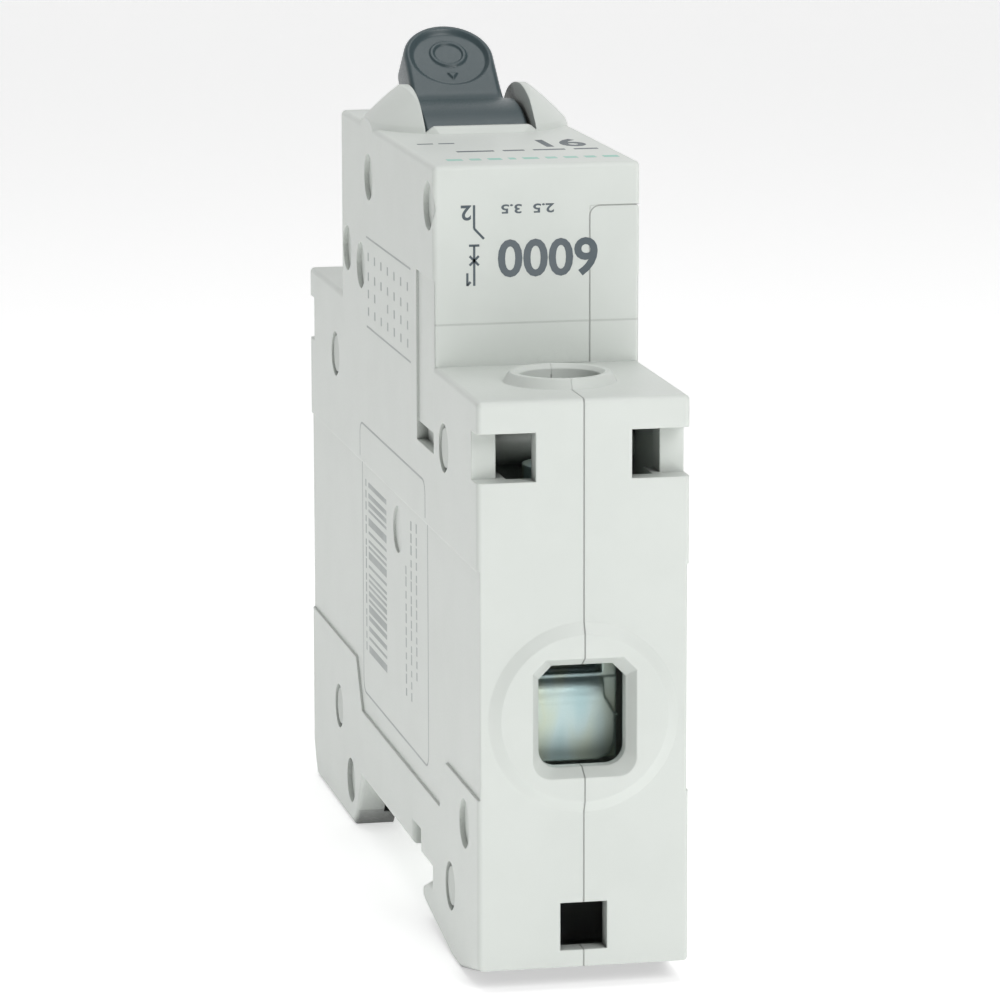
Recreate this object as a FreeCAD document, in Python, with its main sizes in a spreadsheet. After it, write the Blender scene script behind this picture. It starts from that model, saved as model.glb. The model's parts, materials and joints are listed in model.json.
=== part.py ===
import FreeCAD, Part
import math
import os
import Sketcher
from FreeCAD import Placement, Rotation, Vector

# Single-pole miniature circuit breaker for a 35 mm rail, in millimetres.
# X is the width, Y runs from the line end (-Y) to the load end (+Y), Z points away from the rail.
# The origin is the middle of the rail seat.

SIZES = {
    # case
    "case_width": 18.0, "side_wall": 1.7, "end_wall": 1.8, "line_face": 41.0, "load_face": 40.6,
    "shoulder_z": 44.4, "nose_length": 45.0, "nose_top_z": 61.6, "nose_seam_x": 4.6,
    "nose_seam_drop": 3.7, "edge_round": 0.45, "foot_depth": 5.6, "rail_width": 35.0,
    "rail_hook_y": 20.7, "terminal_wall": 5.0, "floor_z": 4.0, "seat_gap": 0.05,
    # toggle
    "hub_y": 9.2, "hub_z": 52.9, "hub_reach": 10.8, "hub_width": 9.5, "slot_gap": 0.29,
    "cheek_reach": 12.26, "axle_bore": 1.5, "axle_play": 0.05, "lever_width": 7.8, "slot_reach": 7.9,
    # terminals
    "terminal_y": 31.65, "screw_bore": 3.45, "collar_reach": 4.8, "collar_height": 0.85,
    "wire_z": 17.6, "boss_reach": 8.1, "boss_height": 0.45, "funnel_width": 8.9, "funnel_height": 10.2,
    "funnel_slope": 0.75, "corner_cut": 1.6, "entry_half": 6.2,
    "bar_z": 24.0, "bar_thick": 2.0, "cage_width": 8.2, "cage_wall": 1.2, "wire_gap": 2.0,
    "screw_head": 3.2, "screw_shank": 2.5, "screw_top_z": 37.4,
    # switching parts
    "carrier_y": 13.5, "carrier_z": 34.0, "carrier_width": 6.0, "contact_width": 4.0, "contact_thick": 1.2,
    "link_wire": 0.6, "link_crank": 4.3, "link_play": 0.45, "plate_count": 10.0, "plate_pitch": 2.0,
    "plate_thick": 1.0, "coil_y": 13.5, "coil_z": 50.0, "coil_wire": 0.8, "coil_turns": 5.0,
    "coil_reach": 4.9, "plunger_reach": 2.4, "rivet_shank": 1.0, "rivet_head": 1.7, "dimple": 2.1,
    "clip_width": 10.0, "clip_play": 0.2, "clip_grip": 1.5,
    "seat_relief": 0.4,
}


class Dim:
    """A size: its value in millimetres and the sheet expression that gives it."""

    def __init__(self, value, text):
        self.value = float(value)
        self.text = text

    def __neg__(self):
        return Dim(-self.value, f"(-{self.text})")

    def __add__(self, other):
        other = as_dim(other)
        return Dim(self.value + other.value, f"({self.text} + {other.text})")

    __radd__ = __add__

    def __sub__(self, other):
        return self + -as_dim(other)

    def __rsub__(self, other):
        return as_dim(other) - self

    def __mul__(self, other):
        other = as_dim(other)
        return Dim(self.value * other.value, f"({self.text} * {other.text})")

    __rmul__ = __mul__

    def __truediv__(self, other):
        other = as_dim(other)
        return Dim(self.value / other.value, f"({self.text} / {other.text})")

    def is_bound(self):
        return "Sizes" in self.text


def as_dim(value):
    """A plain number as a Dim that no cell drives."""
    return value if isinstance(value, Dim) else Dim(value, repr(float(value)))


class Sizes:
    """The sheet of driving sizes, each read as an attribute."""

    def __init__(self, document, table):
        sheet = document.addObject("Spreadsheet::Sheet", "Sizes")
        for row, (alias, value) in enumerate(table.items(), 1):
            sheet.set(f"A{row}", alias)
            sheet.set(f"B{row}", str(value))
            sheet.setAlias(f"B{row}", alias)
            setattr(self, alias, Dim(value, f"<<Sizes>>.{alias}"))


doc = FreeCAD.newDocument("MiniatureBreaker")
S = Sizes(doc, SIZES)
doc.recompute()

HALF = S.case_width / 2
NOSE = S.nose_length / 2
INNER_X = HALF - S.side_wall
SEAM_Z = S.nose_top_z - S.nose_seam_drop
CEILING_Z = S.nose_top_z - S.end_wall
LID_Z = S.shoulder_z - S.end_wall
CHAMBER_OUT = S.line_face - S.terminal_wall
CHAMBER_IN = S.terminal_y - 5.5
MECHANISM_END = S.terminal_y - 7.0
NOSE_INNER = NOSE - S.end_wall
SLOT_X = S.hub_width / 2 + S.slot_gap
LINE, LOAD = -1, 1
PLAY = 0.3
FAR = 60.0
TONGUE = 1.2
WALL_PLATE = MECHANISM_END - 0.6

nodes = []


def place(feature, base, rotation=None):
    """Put a feature at a base point, with each bound coordinate tied to the sheet."""
    base = [as_dim(value) for value in base]
    feature.Placement = Placement(Vector(*(value.value for value in base)), rotation or Rotation())
    for axis, value in zip("xyz", base):
        if value.is_bound():
            feature.setExpression(f"Placement.Base.{axis}", value.text)


def bind(feature, **values):
    """Set each named property from a Dim or a number."""
    for name, value in values.items():
        value = as_dim(value)
        setattr(feature, name, value.value)
        if value.is_bound():
            feature.setExpression(name, value.text)


def new_body(label, base=(0, 0, 0)):
    """A PartDesign body that becomes one node."""
    body = doc.addObject("PartDesign::Body", label)
    body.Label = label
    place(body, base)
    nodes.append(body)
    return body


def rect(x_low, y_low, x_high, y_high):
    return [(x_low, y_low), (x_high, y_low), (x_high, y_high), (x_low, y_high)]


def mirror_y(points, side):
    """An outline drawn for the load end, turned to the line end when side is -1."""
    return [(as_dim(p[0]) * side, *p[1:]) for p in points]


def bent_strip(points, thickness):
    """The outline of a strip of one thickness that follows a bent line on its left side."""
    path = [Vector(as_dim(y).value, as_dim(z).value, 0) for y, z in points]
    wide = as_dim(thickness).value
    sides = [(b - a).normalize() for a, b in zip(path, path[1:])]
    normals = [Vector(-side.y, side.x, 0) for side in sides]
    outer = [path[0] + normals[0] * wide]
    for corner, before, after in zip(path[1:-1], normals, normals[1:]):
        outer.append(corner + (before + after) * (wide / (1 + before.dot(after))))
    outer.append(path[-1] + normals[-1] * wide)
    return [(p.x, p.y) for p in path + outer[::-1]]


def circle(x, y, radius):
    return ("circle", x, y, radius)


def add_circle(sketch, shape):
    _, x, y, radius = (as_dim(v) if not isinstance(v, str) else v for v in shape)
    index = sketch.addGeometry(Part.Circle(Vector(x.value, y.value, 0), Vector(0, 0, 1), radius.value), False)
    pin_point(sketch, index, 3, x, y)
    number = sketch.addConstraint(Sketcher.Constraint("Radius", index, radius.value))
    if radius.is_bound():
        sketch.setExpression(f"Constraints[{number}]", radius.text)


def pin_point(sketch, index, end, x, y):
    """Hold one point of a sketch at x and y, by the axis where the coordinate is nought."""
    for kind, value, axis in (("DistanceX", x, -2), ("DistanceY", y, -1)):
        if value.value == 0:
            sketch.addConstraint(Sketcher.Constraint("PointOnObject", index, end, axis))
            continue
        number = sketch.addConstraint(Sketcher.Constraint(kind, -1, 1, index, end, value.value))
        if value.is_bound():
            sketch.setExpression(f"Constraints[{number}]", value.text)


def arc_between(start, stop, bulge):
    """The arc from start to stop whose middle stands off the chord by bulge, left when positive."""
    middle = (start + stop) * 0.5
    along = stop - start
    left = Vector(-along.y, along.x, 0).normalize()
    return Part.Arc(start, middle + left * bulge, stop)


def add_outline(sketch, points):
    """A closed outline; a third value at a point bows the side after it into an arc by that much."""
    corners = [(as_dim(p[0]), as_dim(p[1])) for p in points]
    vectors = [Vector(x.value, y.value, 0) for x, y in corners]
    first = sketch.GeometryCount
    for number, point in enumerate(points):
        start, stop = vectors[number], vectors[(number + 1) % len(points)]
        if len(point) > 2:
            sketch.addGeometry(arc_between(start, stop, point[2]), False)
        else:
            sketch.addGeometry(Part.LineSegment(start, stop), False)
    arcs = [n for n, point in enumerate(points) if len(point) > 2]
    if arcs:
        for number in range(len(points)):
            sketch.addConstraint(Sketcher.Constraint("Block", first + number))
        return
    for number in range(len(points)):
        following = first + (number + 1) % len(points)
        sketch.addConstraint(Sketcher.Constraint("Coincident", first + number, 2, following, 1))
    for number, (x, y) in enumerate(corners):
        pin_point(sketch, first + number, 1, x, y)


def new_sketch(body, name, plane, shapes, offset):
    """A sketch on one of the body's own planes, moved by offset along the plane's own axes."""
    origin = {item.Role: item for item in body.Origin.OriginFeatures}
    sketch = body.newObject("Sketcher::SketchObject", f"{body.Label}_{name}_sketch")
    sketch.AttachmentSupport = [(origin[plane + "_Plane"], "")]
    sketch.MapMode = "FlatFace"
    offset = [as_dim(value) for value in offset]
    sketch.AttachmentOffset = Placement(Vector(*(value.value for value in offset)), Rotation())
    for axis, value in zip("xyz", offset):
        if value.is_bound():
            sketch.setExpression(f"AttachmentOffset.Base.{axis}", value.text)
    for shape in shapes:
        if shape[0] == "circle":
            add_circle(sketch, shape)
        else:
            add_outline(sketch, shape)
    return sketch


def extrude(body, name, plane, shapes, low, high, kind):
    """A Pad or Pocket between two coordinates along the plane's axis (XZ sketches look along -Y)."""
    low, high = as_dim(low), as_dim(high)
    towards_low = (kind == "Pad") == (plane == "XZ")
    start = high if towards_low else low
    offset = -start if plane == "XZ" else start
    feature_sketch = new_sketch(body, name, plane, shapes, (0, 0, offset))
    feature = body.newObject(f"PartDesign::{kind}", f"{body.Label}_{name}")
    feature.Profile = feature_sketch
    bind(feature, Length=high - low)
    return feature


def pad(body, name, plane, shapes, low, high):
    return extrude(body, name, plane, shapes, low, high, "Pad")


def pocket(body, name, plane, shapes, low, high):
    """Cut between two coordinates, and refuse a cut that leaves the volume as it was."""
    doc.recompute()
    before = body.Shape.Volume
    feature = extrude(body, name, plane, shapes, low, high, "Pocket")
    doc.recompute()
    if body.Shape.Volume > before - 1e-6:
        raise ValueError(f"{body.Label}: {name} cuts nothing")
    return feature


def revolve(body, name, plane, outline, offset, axis, angle=360, reverse=False, kind="Revolution"):
    """Turn an outline about the sketch's own V_Axis or H_Axis."""
    profile = new_sketch(body, name, plane, [outline], offset)
    feature = body.newObject(f"PartDesign::{kind}", f"{body.Label}_{name}")
    feature.Profile = profile
    feature.ReferenceAxis = (profile, [axis])
    feature.Angle = angle
    feature.Reversed = reverse
    return feature


def round_edges(body, name, radius, wanted):
    """Fillet each edge of the body so far for which wanted(edge) holds."""
    doc.recompute()
    tip = body.Tip
    names = [f"Edge{n}" for n, edge in enumerate(tip.Shape.Edges, 1) if wanted(edge)]
    feature = body.newObject("PartDesign::Fillet", f"{body.Label}_{name}")
    feature.Base = (tip, names)
    bind(feature, Radius=radius)
    return feature


def primitive(kind, label, base=(0, 0, 0), rotation=None, **values):
    feature = doc.addObject(f"Part::{kind}", label)
    bind(feature, **values)
    place(feature, base, rotation)
    return feature


ALONG_X = Rotation(Vector(0, 1, 0), 90)
ALONG_Y = Rotation(Vector(1, 0, 0), -90)


def pin(label, y, z, radius, half_length):
    """A plain round pin across the case, with small chamfers at its ends."""
    length = as_dim(half_length) * 2
    body = new_body(label, (-as_dim(half_length), y, z))
    radius = as_dim(radius)
    bevel = radius * 0.2
    pad(body, "shank", "YZ", [circle(0, 0, radius)], 0, length)
    doc.recompute()
    shank = body.Tip
    rims = [f"Edge{n}" for n, edge in enumerate(shank.Shape.Edges, 1) if len(edge.Vertexes) == 1]
    chamfer = body.newObject("PartDesign::Chamfer", f"{label}_chamfer")
    chamfer.Base = (shank, rims)
    bind(chamfer, Size=bevel)
    return body


def on_plane(edge, axis, value):
    """Whether an edge lies in the plane where one coordinate has one value."""
    box = edge.BoundBox
    low, high = {"x": (box.XMin, box.XMax), "y": (box.YMin, box.YMax), "z": (box.ZMin, box.ZMax)}[axis]
    return abs(low - value) < 1e-3 and abs(high - value) < 1e-3


# ---------------------------------------------------------------- case

RIVETS = [(26.4, 38.1), (-26.8, 38.2), (25.8, 4.2), (-29.0, 0.6)]
LOOSE_DIMPLES = [(8.3, 57.0), (-20.3, 58.0), (19.5, 49.1), (12.5, 48.4), (-4.0, 26.9), (-35.2, 7.6),
                 (19.5, -1.6)]
RAIL_EDGE = S.rail_width - S.rail_hook_y


def case_outline():
    """The side view of the case without its nose, from the lower line corner round to the rail seat."""
    line, load, foot = -S.line_face, S.load_face, -S.foot_depth
    lip = -S.rail_hook_y
    return [
        (line, S.shoulder_z), (line, foot + 1.85), (line + 1.7, foot + 1.45), (-32.8, foot),
        (-29.2, foot), (lip - 0.9, foot + 1.05), (-17.2, foot + 1.7), (-16.3, foot + 2.0),
        (-16.2, foot + 3.0), (lip + 1.5, -1.5), (lip, -1.5), (lip, 0.0), (-15.3, 0.0), (-15.3, 2.0),
        (-11.8, 2.0), (-11.8, 0.0), (RAIL_EDGE - S.seat_relief, 0.0), (RAIL_EDGE + 2.1, foot + 1.8),
        (RAIL_EDGE + 4.0, foot), (load - 1.9, foot), (load - 1.0, foot + 1.2),
        (load, foot + 3.2), (load, S.shoulder_z),
    ]


def nose_section(side):
    """The end view of the nose: the left half carries the whole top, the right half fits under it."""
    if side > 0:
        return rect(S.nose_seam_x, S.shoulder_z - 2, HALF, SEAM_Z)
    return [
        (-HALF, S.shoulder_z - 2), (0, S.shoulder_z - 2), (0, S.shoulder_z),
        (S.nose_seam_x, S.shoulder_z), (S.nose_seam_x, SEAM_Z), (HALF, SEAM_Z),
        (HALF, S.nose_top_z), (-HALF, S.nose_top_z),
    ]


def across(side, inner, outer):
    """The x coordinates from inner to outer on one side, lower one first."""
    inner, outer = as_dim(inner) * side, as_dim(outer) * side
    return (inner, outer) if side > 0 else (outer, inner)


def cut_inside(body, side):
    """Hollow one half: the mechanism room, the nose above it and the two terminal rooms."""
    low, high = across(side, 0, INNER_X)
    room = rect(-MECHANISM_END, S.floor_z, MECHANISM_END, LID_Z)
    pocket(body, "mechanism_room", "YZ", [room], low, high)
    if side < 0:
        pocket(body, "nose_room", "XZ", [rect(-INNER_X, LID_Z, INNER_X, CEILING_Z)], -NOSE_INNER, NOSE_INNER)
    else:
        pocket(body, "nose_room", "XZ", [rect(0, LID_Z, INNER_X, SEAM_Z)], -NOSE_INNER, NOSE_INNER)
    for end, name in ((LINE, "line"), (LOAD, "load")):
        outline = mirror_y(rect(CHAMBER_IN, 3.4, CHAMBER_OUT, LID_Z - 0.6), end)
        pocket(body, f"{name}_room", "YZ", [outline], low, high)
        face = S.line_face if end < 0 else S.load_face
        entry = mirror_y(rect(CHAMBER_OUT - 0.1, 11.8, face - S.end_wall, LID_Z - 0.6), end)
        pocket(body, f"{name}_entry_room", "YZ", [entry], *across(side, 0, S.entry_half))
        passage = mirror_y(rect(MECHANISM_END, S.bar_z - TONGUE - 0.1, CHAMBER_IN, S.bar_z + 0.1), end)
        pocket(body, f"{name}_passage", "YZ", [passage], *across(side, 0, 2.8))


def add_bosses(body, side):
    """Pillars round the rivets, from the side wall to the seam, then the rivet holes and dimples."""
    low, high = across(side, 0, HALF - 0.5)
    pillars = [circle(y, z, S.rivet_shank + 0.6) for y, z in RIVETS]
    pad(body, "pillars", "YZ", pillars, low, high)
    bore = S.rivet_shank + S.seat_gap
    holes = [circle(y, z, bore) for y, z in RIVETS]
    pocket(body, "rivet_holes", "YZ", holes, *across(side, -0.5, HALF + 0.5))
    face_low, face_high = across(side, HALF - 0.45, HALF + 0.5)
    below_seam = [point for point in LOOSE_DIMPLES if side < 0 or point[1] < S.shoulder_z.value]
    dimples = [circle(y, z, S.dimple) for y, z in RIVETS + below_seam]
    pocket(body, "dimples", "YZ", dimples, face_low, face_high)


def wire_outline(wide, tall):
    """Outline of the wire entry: round lower corners and small cut upper ones."""
    low, high, cut = S.wire_z - tall, S.wire_z + tall, S.corner_cut
    sag = -(cut * (1 - math.sqrt(0.5))).value
    return [(-wide, low + cut, sag), (-wide + cut, low), (wide - cut, low, sag), (wide, low + cut),
            (wide, high - cut * 0.7), (wide - cut * 0.7, high), (-wide + cut * 0.7, high),
            (-wide, high - cut * 0.7)]


def cut_terminal_end(body, side, end):
    """One end face: wire funnel on its round boss, sight windows, side recess and lower square hole."""
    name = "line" if end < 0 else "load"
    face = S.line_face if end < 0 else S.load_face
    profile = [(0, 0), (S.boss_height * end, 0), (S.boss_height * end, S.boss_reach - 1.0), (0, S.boss_reach)]
    revolve(body, f"{name}_boss", "YZ", profile, (face * end, S.wire_z, 0), "H_Axis", 180,
            reverse=side < 0)
    collar = [(S.screw_bore * end, -1.0), (S.collar_reach * end, -1.0), (S.collar_reach * end, 0),
              ((S.collar_reach - 0.55) * end, S.collar_height), ((S.screw_bore + 0.35) * end, S.collar_height),
              (S.screw_bore * end, S.collar_height - 0.35)]
    revolve(body, f"{name}_collar", "YZ", collar, (S.terminal_y * end, S.shoulder_z, 0), "V_Axis", 180,
            reverse=(end > 0) == (side > 0))
    pocket(body, f"{name}_screw_hole", "XY", [circle(0, S.terminal_y * end, S.screw_bore)],
           LID_Z - 2, S.shoulder_z + 2)
    inner_face, outer_face = sorted((CHAMBER_OUT * end - 0.5 * end, face * end + end), key=lambda d: d.value)
    throat = wire_outline(S.funnel_width / 2 - S.funnel_slope, S.funnel_height / 2 - S.funnel_slope)
    pocket(body, f"{name}_throat", "XZ", [throat], inner_face, outer_face)
    mouth = wire_outline(S.funnel_width / 2, S.funnel_height / 2)
    funnel = body.newObject("PartDesign::SubtractiveLoft", f"{body.Label}_{name}_funnel")
    outer = face * end + 0.5 * end
    inner = face * end - S.funnel_slope * end
    funnel.Profile = new_sketch(body, f"{name}_mouth", "XZ", [mouth], (0, 0, -outer))
    funnel.Sections = [new_sketch(body, f"{name}_neck", "XZ", [throat], (0, 0, -inner))]
    funnel.Ruled = True
    window = rect(*across(side, 4.05, 6.95)[:1], 37.6, *across(side, 4.05, 6.95)[1:], 41.7)
    pocket(body, f"{name}_window", "XZ", [window], inner_face, outer_face)
    recess_low, recess_high = across(side, 6.95, HALF + 1)
    depths = sorted((face * end - 2.4 * end, face * end + end), key=lambda d: d.value)
    pocket(body, f"{name}_recess", "XZ", [rect(recess_low, 37.6, recess_high, 41.7)], *depths)
    pocket(body, f"{name}_square_hole", "XZ", [rect(-2.0, -2.3, 2.0, 1.8)],
           *sorted((face * end - 3.4 * end, face * end + end), key=lambda d: d.value))
    if end < 0:
        pocket(body, "latch_room", "XZ", [rect(-5.0, -4.2, 5.0, 2.4)], S.end_wall - face, 9.8 - face)


def cut_rail_clip_way(body):
    """The T-shaped way in the load foot that the rail clip slides in."""
    half = S.clip_width / 2 + S.clip_play
    foot = -S.foot_depth
    way = [
        (-half, foot - 1), (half, foot - 1), (half, foot + 1.5), (half + 1.2, foot + 1.5),
        (half + 1.2, foot + 3.1), (half, foot + 3.1), (half, -1.0), (-half, -1.0), (-half, foot + 3.1),
        (-half - 1.2, foot + 3.1), (-half - 1.2, foot + 1.5), (-half, foot + 1.5),
    ]
    pocket(body, "clip_way", "XZ", [way], RAIL_EDGE - 3, S.load_face + 1)
    relief = rect(-half - 0.3, RAIL_EDGE - S.clip_grip - 0.3, half + 0.3, RAIL_EDGE - S.seat_relief)
    pocket(body, "seat_relief", "XY", [relief], -S.seat_relief, S.seat_relief)


def cut_side_face(body, side):
    """Relief on one side face: the shallow band, the accessory strip and its slot."""
    low, high = across(side, HALF - 0.22, HALF + 0.5)
    band = [(-FAR, 30.2), (-FAR, 10.9), (-27.0, 10.9), (-24.2, 6.4), (13.5, 6.4), (16.5, 10.9),
            (FAR, 10.9), (FAR, 30.2)]
    pocket(body, "side_band", "YZ", [band], low, high)
    pocket(body, "side_strip", "YZ", [rect(-22.35, 36.9, -14.7, 51.8)], low, high)
    low, high = across(side, HALF - 1.0, HALF + 0.5)
    pocket(body, "side_slot", "YZ", [rect(-22.35, 36.9, -14.7, 38.5)], low, high)


def add_collar(body):
    """The raised cheeks round the toggle slot: a dome cut off by the drum's own curve."""
    base_z = S.nose_top_z
    dome = [(0, -0.6), (9.45, -0.6), (9.45, 0), (9.15, 0.5, -0.12), (5.6, 3.7), (0, 4.2)]
    revolve(body, "dome", "YZ", dome, (S.hub_y, base_z, 0), "V_Axis")
    for side in (-1, 1):
        low, high = across(side, HALF, HALF + 3)
        pocket(body, f"dome_side_{side + 1}", "XZ", [rect(low, base_z - 2, high, base_z + 6)], -FAR, FAR)
    rise = base_z - S.hub_z
    half_chord = math.sqrt(S.cheek_reach.value ** 2 - rise.value ** 2)
    front, back = S.hub_y.value - half_chord, S.hub_y.value + half_chord
    bulge = S.cheek_reach.value - rise.value
    above = [(front, base_z, bulge), (back, base_z), (FAR / 2, base_z), (FAR / 2, base_z + 8),
             (-FAR / 2, base_z + 8), (-FAR / 2, base_z)]
    pocket(body, "cheek_curve", "YZ", [above], -HALF - 1, HALF + 1)
    slot = rect(-SLOT_X, S.hub_y - S.slot_reach, SLOT_X, S.hub_y + S.slot_reach)
    pocket(body, "toggle_slot", "XY", [slot], CEILING_Z - 1, base_z + 6)
    pocket(body, "drum_way", "YZ", [circle(S.hub_y, S.hub_z, S.hub_reach + PLAY)], -SLOT_X, SLOT_X)


def make_housing(side):
    """One half of the case."""
    body = new_body("left_housing" if side < 0 else "right_housing")
    pad(body, "shell", "YZ", [case_outline()], *across(side, 0, HALF))
    pad(body, "nose", "XZ", [nose_section(side)], -NOSE, NOSE)
    top = S.nose_top_z.value
    outer = (HALF * side).value
    corner_y = NOSE.value

    def is_outer(edge):
        upper = on_plane(edge, "z", top)
        upright = abs(edge.BoundBox.XMin - outer) < 1e-3 and abs(edge.BoundBox.XMax - outer) < 1e-3
        ends = on_plane(edge, "z", S.shoulder_z.value) and (
            on_plane(edge, "y", -S.line_face.value) or on_plane(edge, "y", S.load_face.value))
        lip = side < 0 and on_plane(edge, "x", -outer) and (
            on_plane(edge, "y", corner_y) or on_plane(edge, "y", -corner_y))
        return upper or upright or ends or lip

    round_edges(body, "outer_edges", S.edge_round, is_outer)
    cut_inside(body, side)
    if side < 0:
        add_collar(body)
    add_bosses(body, side)
    for end in (LINE, LOAD):
        cut_terminal_end(body, side, end)
    cut_rail_clip_way(body)
    cut_side_face(body, side)
    add_pivot_seats(body, side)
    return body


PIVOTS = {"toggle_axle": (S.hub_y, S.hub_z, S.axle_bore), "carrier_axle": (S.carrier_y, S.carrier_z, 1.2),
          "trip_axle": (-2.6, 41.0, 0.8)}
AXLE_HALF = INNER_X + 0.8


def add_pivot_seats(body, side):
    """Blind bores in the side walls that hold the three axles."""
    low, high = across(side, INNER_X - 0.5, INNER_X + 0.9)
    seats = [circle(y, z, as_dim(radius) + S.seat_gap) for y, z, radius in PIVOTS.values()]
    pocket(body, "pivot_seats", "YZ", seats, low, high)


def make_rivets():
    """Five rivets through the case, each with a head in its dimple on both sides."""
    body = new_body("housing_rivets")
    reach = HALF - 0.45
    shanks = [circle(y, z, S.rivet_shank) for y, z in RIVETS]
    pad(body, "shanks", "YZ", shanks, -reach, reach)
    heads = [circle(y, z, S.rivet_head) for y, z in RIVETS]
    for side in (-1, 1):
        pad(body, f"heads_{side + 1}", "YZ", heads, *across(side, reach, reach + 0.3))


# ---------------------------------------------------------------- toggle

def polar(angle, radius):
    """The y and z of a point about the hub, at an angle from straight up towards the load end."""
    turn = math.radians(angle)
    radius = as_dim(radius)
    return radius * math.sin(turn), radius * math.cos(turn)


TOGGLE_LEAN = 24.0
SHIELD_SPREAD = 69.0
LEVER_PROFILE = [(2.2, 8.0), (6.0, 8.6), (7.2, 10.3), (11.4, 11.6, -0.25), (11.5, 14.3, -0.55),
                 (8.8, 16.5, -0.5), (4.4, 14.1), (1.35, 11.8), (0.6, 9.95)]


def make_toggle():
    """Handle, drum and hub in one moulding, leaning to the load end when the breaker is off."""
    body = new_body("toggle_handle", (0, S.hub_y, S.hub_z))
    outer, inner = S.hub_reach, S.hub_reach - 1.4
    start, stop = TOGGLE_LEAN - SHIELD_SPREAD, TOGGLE_LEAN + SHIELD_SPREAD
    sag = 1 - math.cos(math.radians(SHIELD_SPREAD))
    shield = [(*polar(start, outer), (outer * sag).value), polar(stop, outer),
              (*polar(stop, inner), -(inner * sag).value), polar(start, inner)]
    half = S.hub_width / 2
    pad(body, "drum", "YZ", [shield], -half, half)
    foot = 3.2
    web = [polar(TOGGLE_LEAN - 80, foot), polar(TOGGLE_LEAN - 22, inner + 0.5),
           polar(TOGGLE_LEAN + 22, inner + 0.5), polar(TOGGLE_LEAN + 80, foot)]
    pad(body, "web", "YZ", [web], -half + 2.2, half - 2.2)
    pad(body, "hub", "YZ", [circle(0, 0, foot + 0.2)], -half, half)
    wide = S.lever_width / 2
    pad(body, "lever", "YZ", [LEVER_PROFILE], -wide, wide)
    crank_y, crank_z = link_hole(S.link_crank)
    pad(body, "crank", "YZ", [circle(crank_y, crank_z, S.link_wire + 1.2)], -half, -half + 2.2)
    pocket(body, "axle_hole", "YZ", [circle(0, 0, S.axle_bore + S.axle_play)], -half - 1, half + 1)
    pocket(body, "link_hole", "YZ", [circle(crank_y, crank_z, S.link_wire + S.axle_play)],
           -half - 1, -half + 4)
    return body


def link_hole(radius):
    """Where the link hooks into the hub when off, from the hub's centre."""
    return as_dim(radius) * math.cos(math.radians(156)), as_dim(radius) * math.sin(math.radians(156))


QUARTER_TURN = 0.25


def make_spring(label, base, rotation, radius, wire, pitch, height):
    """A round wire wound in a helix along its own Z."""
    helix = primitive("Helix", f"{label}_helix", Pitch=pitch, Height=height, Radius=radius)
    helix.SegmentLength = QUARTER_TURN
    doc.recompute()
    upright = Rotation(Vector(1, 0, 0), 90)
    section = primitive("Circle", f"{label}_section", (radius, 0, 0), upright, Radius=wire)
    spring = doc.addObject("Part::Sweep", label)
    spring.Sections = [section]
    spring.Spine = (helix, [f"Edge{number + 1}" for number in range(len(helix.Shape.Edges))])
    spring.Solid = True
    spring.Frenet = True
    spring.Label = label
    place(spring, base, rotation)
    nodes.append(spring)
    return spring


# ---------------------------------------------------------------- switching parts

CARRIER_HOLE = (5.0, 39.5)


def make_link():
    """The U-shaped wire between the hub and the contact carrier."""
    body = new_body("drive_link")
    crank_y, crank_z = link_hole(S.link_crank)
    top_y, top_z = S.hub_y + crank_y, S.hub_z + crank_z
    low_y, low_z = CARRIER_HOLE
    wire = S.link_wire
    side_x = -S.hub_width / 2 - PLAY - wire
    pad(body, "upper_leg", "YZ", [circle(top_y, top_z, wire)], side_x - wire, -S.hub_width / 2 + 2.0)
    pad(body, "lower_leg", "YZ", [circle(low_y, low_z, wire)], side_x - wire, -S.carrier_width / 2 + 2.0)
    run = Vector(low_y - top_y.value, low_z - top_z.value, 0).normalize()
    left = Vector(-run.y, run.x, 0) * wire.value
    corners = [(top_y + left.x, top_z + left.y), (top_y - left.x, top_z - left.y),
               (low_y - left.x, low_z - left.y), (low_y + left.x, low_z + left.y)]
    pad(body, "stay", "YZ", [corners], side_x - wire, side_x + wire)
    doc.recompute()
    return body


def make_carrier():
    """The moulded carrier that the link turns and the contact arm is clamped to."""
    body = new_body("contact_carrier", (0, S.carrier_y, S.carrier_z))
    half = S.carrier_width / 2
    plate = [(0, 3.0), (-6.3, 7.6), (-10.2, 7.6), (-11.0, 4.6), (-9.0, 2.2), (-11.4, -2.5), (0, -2.5),
             (2.6, -1.6),
             (2.8, 1.6)]
    pad(body, "plate", "YZ", [plate], -half, half)
    hole_y, hole_z = CARRIER_HOLE[0] - S.carrier_y, CARRIER_HOLE[1] - S.carrier_z
    play = S.link_wire + S.link_play
    pocket(body, "link_hole", "YZ", [circle(hole_y, hole_z, play)], -half - 1, -half + 2.6)
    pocket(body, "pivot", "YZ", [circle(0, 0, 1.2 + S.axle_play)], -half - 1, half + 1)


def make_moving_contact():
    """The copper contact arm under the carrier, and its silver tip."""
    arm = new_body("moving_contact_arm")
    half = S.contact_width / 2
    top = S.carrier_z - 2.5
    low = top - S.contact_thick
    tip_y = -1.5
    pad(arm, "arm", "YZ", [rect(tip_y - 1.6, low, S.carrier_y - 2.0, top)], -half, half)
    tip = new_body("moving_contact_tip")
    pad(tip, "tip", "XY", [circle(0, tip_y, half - 0.3)], low - 1.0, low)


CONTACT_TURN = 21.0


def closed_tip():
    """Where the silver tip's face is with the contacts closed, and its direction."""
    face = Vector(-1.5 - S.carrier_y.value, -2.5 - S.contact_thick.value - 1.0, 0)
    turned = Rotation(Vector(0, 0, 1), CONTACT_TURN).multVec(face)
    return turned + Vector(S.carrier_y.value, S.carrier_z.value, 0)


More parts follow.
